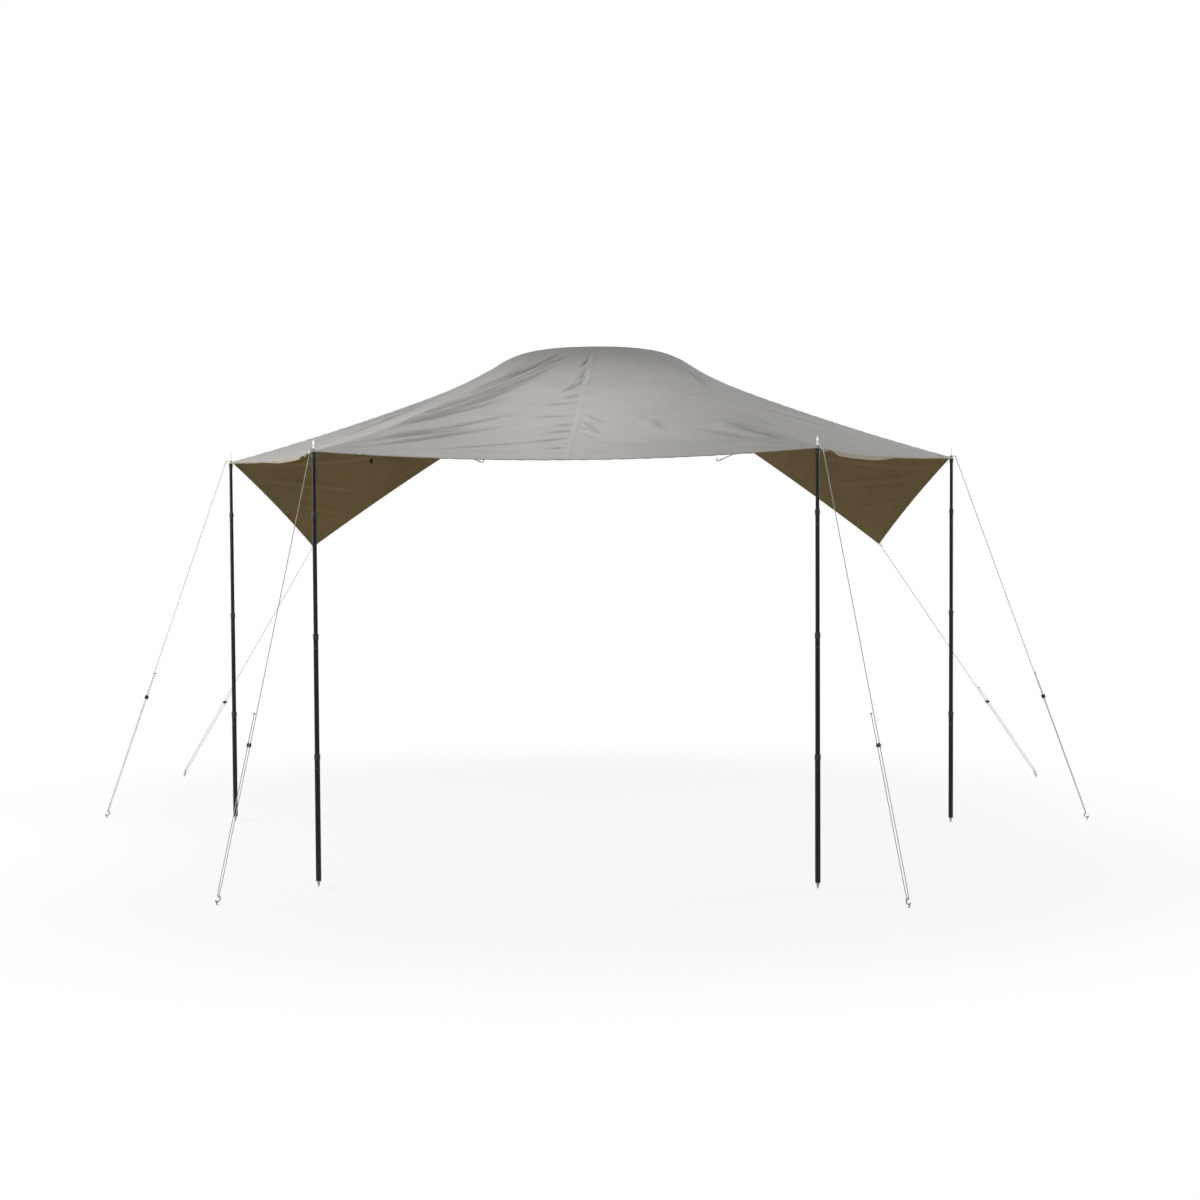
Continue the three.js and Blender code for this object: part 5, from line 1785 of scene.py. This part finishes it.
def build_dust(tree, given):
    """Dust that clings near the ground and thins out with height."""
    height = add_node(tree, "ShaderNodeSeparateXYZ", {0: given["Vector"]}).outputs[2]
    low = maths(tree, "SUBTRACT", 1.0, remap(tree, height, 0.0, given["Reach"]))
    patchy = remap(tree, noise(tree, given["Vector"], 90.0, 4.0, 0.7), 0.40, 0.62)
    lying = maths(tree, "MULTIPLY", low, patchy)
    return {"Mask": maths(tree, "MULTIPLY", lying, given["Amount"], clamp=True)}


dust = effect("ground dust", {"Vector": "Vector", "Reach": "Float", "Amount": "Float"}, {"Mask": "Float"},
              build_dust)
DUST_COLOR = srgb(150, 138, 120)


def build_grain(tree, given):
    fine = noise(tree, given["Vector"], given["Scale"], 2.0, 0.7)
    coarse = noise(tree, given["Vector"], maths(tree, "MULTIPLY", given["Scale"], 0.21), 3.0, 0.6)
    return {"Height": fine, "Mask": remap(tree, coarse, 0.36, 0.66)}


grain = effect("fine grain", {"Vector": "Vector", "Scale": "Float"}, {"Height": "Float", "Mask": "Float"},
               build_grain)
print("effects:", [g.name for g in bpy.data.node_groups])


# %% [markdown]
# ## The cloth's finishes
# One cloth has two faces: outside it is a matt grey ripstop, inside it carries an olive brown coating that
# creases where it was folded. Both read the cloth's own map, so the threads run with the sheet. The hems show
# the grey face folded under, coloured darker and warmer than it is: painted shade. The thread is a shade lighter.
# The valleys of the folds are coloured darker, which stands in for shade: under these soft lamps the folds
# alone show too little contrast.

# %% Cloth
def new_material(name, roughness, metallic=0.0, **sockets):
    made = bpy.data.materials.new(name)
    made.use_nodes = True
    tree = made.node_tree
    shader = tree.nodes["Principled BSDF"]
    shader.inputs["Roughness"].default_value = roughness
    shader.inputs["Metallic"].default_value = metallic
    for key, value in sockets.items():
        shader.inputs[key.replace("_", " ")].default_value = value
    return made, tree, shader


def bumped(tree, shader, height, strength, distance):
    made = add_node(tree, "ShaderNodeBump", {"Height": height, "Strength": strength, "Distance": distance})
    tree.links.new(made.outputs["Normal"], shader.inputs["Normal"])
    return made


def object_space(tree):
    return add_node(tree, "ShaderNodeTexCoord").outputs["Object"]


def cloth_map(tree, name="cloth"):
    return add_node(tree, "ShaderNodeUVMap", uv_map=name).outputs["UV"]


FOLD_TONE = 0.58


def cloth_material(name, color, shade, light, roughness, crinkle_depth, weave_depth, edge_darkening,
                   fold_shade=0.0, **sockets):
    made, tree, shader = new_material(name, roughness, **sockets)
    where, flat = object_space(tree), cloth_map(tree)
    soft = use(tree, mottle, {"Vector": where, "Scale": 1.6})["Mask"]
    blotch = use(tree, mottle, {"Vector": where, "Scale": 9.0})["Mask"]
    threads = use(tree, weave, {"Map": flat, "Thread": 0.0009, "Grid": 0.0060})
    creases = use(tree, crinkle, {"Vector": where, "Scale": 7.0})
    base = mixed(tree, soft, shade, color)
    base = mixed(tree, maths(tree, "MULTIPLY", blotch, 0.35), base, light)
    base = mixed(tree, maths(tree, "MULTIPLY", threads["Grid"], 0.16), base, shade)
    base = mixed(tree, maths(tree, "MULTIPLY", creases["Crease"], 0.10), base, light)
    # Darker close to the edges: the colour is mixed towards the darker colour where the stored distance to an edge is
    # small.
    if edge_darkening:
        edge = add_node(tree, "ShaderNodeAttribute", attribute_name="to_edge").outputs["Fac"]
        edge_dark_share = maths(tree, "MULTIPLY", maths(tree, "SUBTRACT", 1.0, remap(tree, edge, 0.0, 0.05)), edge_darkening)
        base = mixed(tree, edge_dark_share, base, shade)
    if fold_shade:
        fold = add_node(tree, "ShaderNodeAttribute", attribute_name="in_fold").outputs["Fac"]
        deep = tuple(FOLD_TONE * channel for channel in shade[:3]) + (1,)
        base = mixed(tree, maths(tree, "MULTIPLY", fold, fold_shade), base, deep)
    tree.links.new(base, shader.inputs["Base Color"])
    rough = remap(tree, blotch, 0.0, 1.0, roughness - 0.05, roughness + 0.06, smooth=False)
    tree.links.new(rough, shader.inputs["Roughness"])
    height = maths(tree, "MULTIPLY_ADD", threads["Height"], weave_depth,
                   maths(tree, "MULTIPLY", creases["Height"], crinkle_depth))
    bumped(tree, shader, height, 1.0, 0.001)
    return made


OUTER = {"color": srgb(179, 176, 172), "shade": srgb(169, 166, 161), "light": srgb(187, 184, 181)}
INNER = {"color": srgb(136, 118, 75), "shade": srgb(124, 106, 65), "light": srgb(146, 128, 87)}
# The edge amount of each cloth sets how much darker it is close to its edges.
canopy_outer = cloth_material(
    "grey ripstop", **OUTER, roughness=0.78, crinkle_depth=0.10, weave_depth=0.05, edge_darkening=0.30,
    fold_shade=0.60, Sheen_Weight=0.05, Sheen_Roughness=0.5, Specular_IOR_Level=0.12)
canopy_inner = cloth_material(
    "olive brown coating", **INNER, roughness=0.62, crinkle_depth=0.22, weave_depth=0.03, edge_darkening=0.25,
    fold_shade=0.15, Specular_IOR_Level=0.35)
# Painted shade: the grey face turned under in the hems is coloured darker and warmer, as it looks in the shade beside
# the brown face.
hem_in_painted_shade = cloth_material(
    "folded hem", srgb(160, 152, 134), srgb(144, 135, 117), srgb(172, 165, 149),
    roughness=0.82, crinkle_depth=0.08, weave_depth=0.06, edge_darkening=0.0, Specular_IOR_Level=0.12)
wing_binding = cloth_material(
    "wing binding", srgb(74, 62, 44), srgb(62, 52, 36), srgb(88, 76, 56),
    roughness=0.75, crinkle_depth=0.10, weave_depth=0.06, edge_darkening=0.0)
seam_finish = cloth_material(
    "seam tape", srgb(185, 183, 179), srgb(172, 170, 166), srgb(193, 191, 188),
    roughness=0.74, crinkle_depth=0.05, weave_depth=0.08, edge_darkening=0.0, Specular_IOR_Level=0.12)


def thread_material(name, color, dark):
    made, tree, shader = new_material(name, 0.7, Sheen_Weight=0.2)
    where = object_space(tree)
    twist = use(tree, grain, {"Vector": where, "Scale": 900.0})
    tree.links.new(mixed(tree, twist["Mask"], dark, color), shader.inputs["Base Color"])
    bumped(tree, shader, twist["Height"], 0.4, 0.0002)
    return made


grey_thread = thread_material("grey thread", srgb(196, 195, 190), srgb(170, 169, 164))
brown_thread = thread_material("brown thread", srgb(140, 124, 96), srgb(112, 98, 74))


def dress(piece, *materials):
    """Gives a piece its finishes, and keeps which face has which."""
    faces = piece.data.polygons
    which = np.zeros(len(faces), np.int32)
    faces.foreach_get("material_index", which)
    piece.data.materials.clear()
    for look in materials:
        piece.data.materials.append(look)
    faces.foreach_set("material_index", np.minimum(which, len(materials) - 1))


# %% [markdown]
# ## Metals, plastics and cords
# The tubes are black anodised aluminium: satin, with faint draw lines along their length, paler where a
# collar rubs and dusty near the ground. The collars, plugs and sliders are black moulded plastic with a fine
# grain. The pins and feet are bright turned steel, and the pegs are dull plated wire.

# %% Hard finishes
def metal_material(name, color, dark, rubbed, roughness, metallic, wear_amount, dust_reach, dust_amount,
                   lines=0.0, **sockets):
    made, tree, shader = new_material(name, roughness, metallic, **sockets)
    where = object_space(tree)
    fine = use(tree, grain, {"Vector": where, "Scale": 1400.0})
    soft = use(tree, mottle, {"Vector": where, "Scale": 14.0})["Mask"]
    rub = use(tree, wear, {"Vector": where, "Scale": 160.0, "Amount": wear_amount})["Mask"]
    base = mixed(tree, soft, dark, color)
    drawn = None
    if lines:
        stretch = add_node(
            tree, "ShaderNodeMapping", {"Vector": where, "Scale": (520.0, 520.0, 2.2)}).outputs[0]
        drawn = noise(tree, stretch, 1.0, 3.0, 0.6)
        base = mixed(tree, maths(tree, "MULTIPLY", remap(tree, drawn, 0.45, 0.75), lines), base, rubbed)
    base = mixed(tree, rub, base, rubbed)
    rough = remap(tree, soft, 0.0, 1.0, roughness - 0.06, roughness + 0.07, smooth=False)
    if dust_amount:
        low = use(tree, dust, {"Vector": where, "Reach": dust_reach, "Amount": dust_amount})["Mask"]
        base = mixed(tree, low, base, DUST_COLOR)
        rough = maths(tree, "MULTIPLY_ADD", low, 0.35, rough, clamp=True)
    tree.links.new(base, shader.inputs["Base Color"])
    tree.links.new(rough, shader.inputs["Roughness"])
    height = fine["Height"]
    if drawn is not None:
        height = maths(tree, "MULTIPLY_ADD", drawn, 0.8, maths(tree, "MULTIPLY", height, 0.3))
    bumped(tree, shader, height, 0.25, 0.0003)
    return made


tube_black = metal_material(
    "black anodised tube", srgb(20, 20, 22), srgb(13, 13, 15), srgb(58, 58, 62), roughness=0.46,
    metallic=0.05, wear_amount=0.3, dust_reach=0.30, dust_amount=0.08, lines=0.04, Specular_IOR_Level=0.30)
button_dark = metal_material(
    "worn button steel", srgb(84, 84, 87), srgb(62, 62, 65), srgb(186, 186, 188), roughness=0.34,
    metallic=0.9, wear_amount=1.0, dust_reach=0.1, dust_amount=0.0)
bright_steel = metal_material(
    "bright turned steel", srgb(228, 227, 223), srgb(212, 211, 207), srgb(240, 240, 238), roughness=0.34,
    metallic=0.7, wear_amount=0.6, dust_reach=0.1, dust_amount=0.0, lines=0.15)
foot_steel = metal_material(
    "foot steel", srgb(200, 200, 200), srgb(176, 176, 178), srgb(228, 228, 228), roughness=0.34,
    metallic=0.9, wear_amount=0.6, dust_reach=0.045, dust_amount=0.55)
peg_wire = metal_material(
    "plated wire", srgb(146, 148, 151), srgb(122, 124, 128), srgb(198, 199, 200), roughness=0.38,
    metallic=0.95, wear_amount=0.7, dust_reach=0.05, dust_amount=0.6, lines=0.15)
eyelet_metal = metal_material(
    "nickel eyelet", srgb(176, 176, 174), srgb(150, 150, 148), srgb(220, 220, 218), roughness=0.32,
    metallic=1.0, wear_amount=0.6, dust_reach=0.1, dust_amount=0.0)


def plastic_material(name, color, light, roughness, wear_amount=0.5):
    made, tree, shader = new_material(name, roughness)
    where = object_space(tree)
    fine = use(tree, grain, {"Vector": where, "Scale": 2300.0})
    soft = use(tree, mottle, {"Vector": where, "Scale": 30.0})["Mask"]
    rub = use(tree, wear, {"Vector": where, "Scale": 220.0, "Amount": wear_amount})["Mask"]
    base = mixed(tree, maths(tree, "MULTIPLY", soft, 0.4), color, light)
    base = mixed(tree, rub, base, light)
    rough = remap(tree, fine["Mask"], 0.0, 1.0, roughness - 0.06, roughness + 0.08, smooth=False)
    tree.links.new(base, shader.inputs["Base Color"])
    tree.links.new(rough, shader.inputs["Roughness"])
    bumped(tree, shader, fine["Height"], 0.35, 0.0003)
    return made


black_plastic = plastic_material("black moulded plastic", srgb(30, 30, 31), srgb(52, 52, 53), roughness=0.48)
white_nylon = plastic_material(
    "white nylon", srgb(214, 213, 208), srgb(226, 225, 220), roughness=0.45, wear_amount=0.3)
bead_finish = plastic_material(
    "bead cover", srgb(128, 127, 122), srgb(146, 145, 140), roughness=0.58, wear_amount=0.3)


def cord_material(name, color, dark, fleck, strands, pitch, dust_amount):
    made, tree, shader = new_material(name, 0.82, Sheen_Weight=0.25, Sheen_Roughness=0.4)
    where = object_space(tree)
    plait = use(tree, braid, {"Map": cloth_map(tree, "along"), "Strands": strands, "Pitch": pitch})
    fuzz = use(tree, grain, {"Vector": where, "Scale": 1800.0})
    soft = use(tree, mottle, {"Vector": where, "Scale": 6.0})["Mask"]
    base = mixed(tree, maths(tree, "MULTIPLY", soft, 0.5), color, dark)
    # Painted shade: the braid's grooves are mixed towards the dark colour.
    base = mixed(tree, maths(tree, "MULTIPLY", plait["Groove"], 0.55), base, dark)
    base = mixed(tree, maths(tree, "MULTIPLY", plait["Fleck"], 0.8), base, fleck)
    low = use(tree, dust, {"Vector": where, "Reach": 0.25, "Amount": dust_amount})["Mask"]
    base = mixed(tree, low, base, DUST_COLOR)
    tree.links.new(base, shader.inputs["Base Color"])
    height = maths(tree, "MULTIPLY_ADD", fuzz["Height"], 0.25, plait["Height"])
    bumped(tree, shader, height, 0.8, 0.0004)
    return made


pale_cord = cord_material("off white braid", srgb(222, 219, 209), srgb(186, 182, 170), srgb(150, 148, 142),
                          strands=6.0, pitch=0.0052, dust_amount=0.35)
dark_cord = cord_material("dark braid", srgb(48, 46, 42), srgb(30, 29, 27), srgb(82, 78, 70),
                          strands=6.0, pitch=0.0060, dust_amount=0.0)
tab_webbing = plastic_material(
    "tab webbing", srgb(34, 32, 29), srgb(54, 51, 46), roughness=0.8, wear_amount=0.2)

# %% Every piece gets its finish
dress(roof, canopy_outer, canopy_inner, hem_in_painted_shade)
dress(seam_tape, seam_finish, seam_finish, seam_finish)
dress(roof_thread, grey_thread)
for side_name, grid in wing_grids.items():
    dress(grid["piece"], canopy_inner, canopy_outer, wing_binding)
    dress(wing_threads[side_name], brown_thread)
for piece in patches:
    look = canopy_outer if piece.name.endswith("top") else canopy_inner
    dress(piece, look, look, look)
FINISHES = {
    "_tube_": tube_black, "_collar_": black_plastic, "_snap_": button_dark, "_plug": black_plastic,
    "_pin_rod": bright_steel, "_foot_cone": foot_steel, "_eyelet": eyelet_metal, "_washer": white_nylon,
    "_slider": black_plastic, "_wire_peg": peg_wire, "_tail_knot": pale_cord, "_sleeve": white_nylon,
    "_braided_line": pale_cord, "_tie_cord": dark_cord, "_tie_knot": dark_cord, "_tie_hook": button_dark,
    "_tie_crimp": button_dark, "_keder_bead": bead_finish, "wing_left_tab": tab_webbing,
    "hem_snap": black_plastic,
}
for pieces in SLOTS.values():
    for piece in pieces:
        for ending, look in FINISHES.items():
            if ending in piece.name:
                dress(piece, look)
used = np.zeros(len(roof.data.polygons), np.int32)
roof.data.polygons.foreach_get("material_index", used)
print("faces of the roof by finish:", np.bincount(used))
bare = [o.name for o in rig.pieces() if not o.data.materials or o.data.materials[0] is None]
print("pieces without a finish:", bare)

# %% [markdown]
# ## Floor, backdrop and light
# The awning stands on a plain white floor in a white room. The floor is a big plane; the white behind comes
# from the world, which shows white to the camera and to reflections, and lights the cloth at a plain level.

# %% Floor and world
floor = new_shape("floor", bpy.ops.mesh.primitive_plane_add, size=60, location=(0, 0, -0.0005))
settle(floor)
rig.stage(floor)
paper, tree, shader = new_material("white floor", 0.95, Specular_IOR_Level=0.1)
where = object_space(tree)
speck = use(tree, grain, {"Vector": where, "Scale": 60.0})["Mask"]
tree.links.new(mixed(tree, speck, (0.90, 0.90, 0.90, 1), (0.92, 0.92, 0.92, 1)), shader.inputs["Base Color"])
away = add_node(tree, "ShaderNodeVectorMath", {0: where}, operation="LENGTH").outputs["Value"]
white = remap(tree, away, 2.2, 4.4, 0.82, 1.0)
fade = maths(tree, "MULTIPLY", white, add_node(tree, "ShaderNodeLightPath").outputs["Is Camera Ray"])
glow = add_node(tree, "ShaderNodeEmission", {"Color": (1, 1, 1, 1), "Strength": 1.0})
whole = add_node(tree, "ShaderNodeMixShader", {0: fade, 1: shader.outputs[0], 2: glow.outputs[0]})
tree.links.new(whole.outputs[0], tree.nodes["Material Output"].inputs["Surface"])
dress(floor, paper)

world = bpy.data.worlds.new("white room")
scene.world = world
world.use_nodes = True
tree = world.node_tree
tree.nodes.clear()
seen = add_node(tree, "ShaderNodeLightPath").outputs
straight = maths(tree, "MAXIMUM", seen["Is Camera Ray"], seen["Is Transmission Ray"])
white_seen = maths(tree, "MAXIMUM", straight, seen["Is Glossy Ray"])
sky = add_node(tree, "ShaderNodeBackground", {"Color": (0.985, 0.99, 1.0, 1), "Strength": 0.15})
backdrop = add_node(tree, "ShaderNodeBackground", {"Color": (1, 1, 1, 1)})
room = add_node(tree, "ShaderNodeMixShader", {0: white_seen, 1: sky.outputs[0], 2: backdrop.outputs[0]})
add_node(tree, "ShaderNodeOutputWorld", {0: room.outputs[0]})


def soft_light(name, power, place_at, aim, width, height):
    data = bpy.data.lights.new(name, "AREA")
    data.energy, data.shape = power, "RECTANGLE"
    data.size, data.size_y = width, height
    lamp = bpy.data.objects.new(name, data)
    scene.collection.objects.link(lamp)
    lamp.location = place_at
    lamp.rotation_euler = (Vector(aim) - Vector(place_at)).to_track_quat("-Z", "Y").to_euler()
    lamp.visible_camera = False
    return lamp


soft_light("overhead strip", power=17, place_at=(-0.16, -0.85, 3.45), aim=(-0.16, -0.851, 0),
           width=0.35, height=3.4)
soft_light("left softbox", power=215, place_at=(-5.2, -0.9, 3.1), aim=(-1.2, 0, 2.2), width=1.8, height=1.8)
soft_light("right softbox", power=175, place_at=(5.5, 1.2, 3.2), aim=(1.2, 0.4, 2.2), width=1.8, height=1.8)
soft_light("front softbox", power=75, place_at=(-1.5, -9.0, 4.5), aim=(0, 0, 1.6), width=4.0, height=2.5)
scene.view_settings.view_transform = "Standard"

# %% [markdown] ## Measure and finish The dressed model has to stay in the CAD model's box.

# %% Sizes and the end
dressed_box = [list(corner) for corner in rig.bounds()]
with open("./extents.json", "w") as size_file:
    json.dump({"cad": cad_box, "visual": dressed_box}, size_file)
print("dressed box", dressed_box)
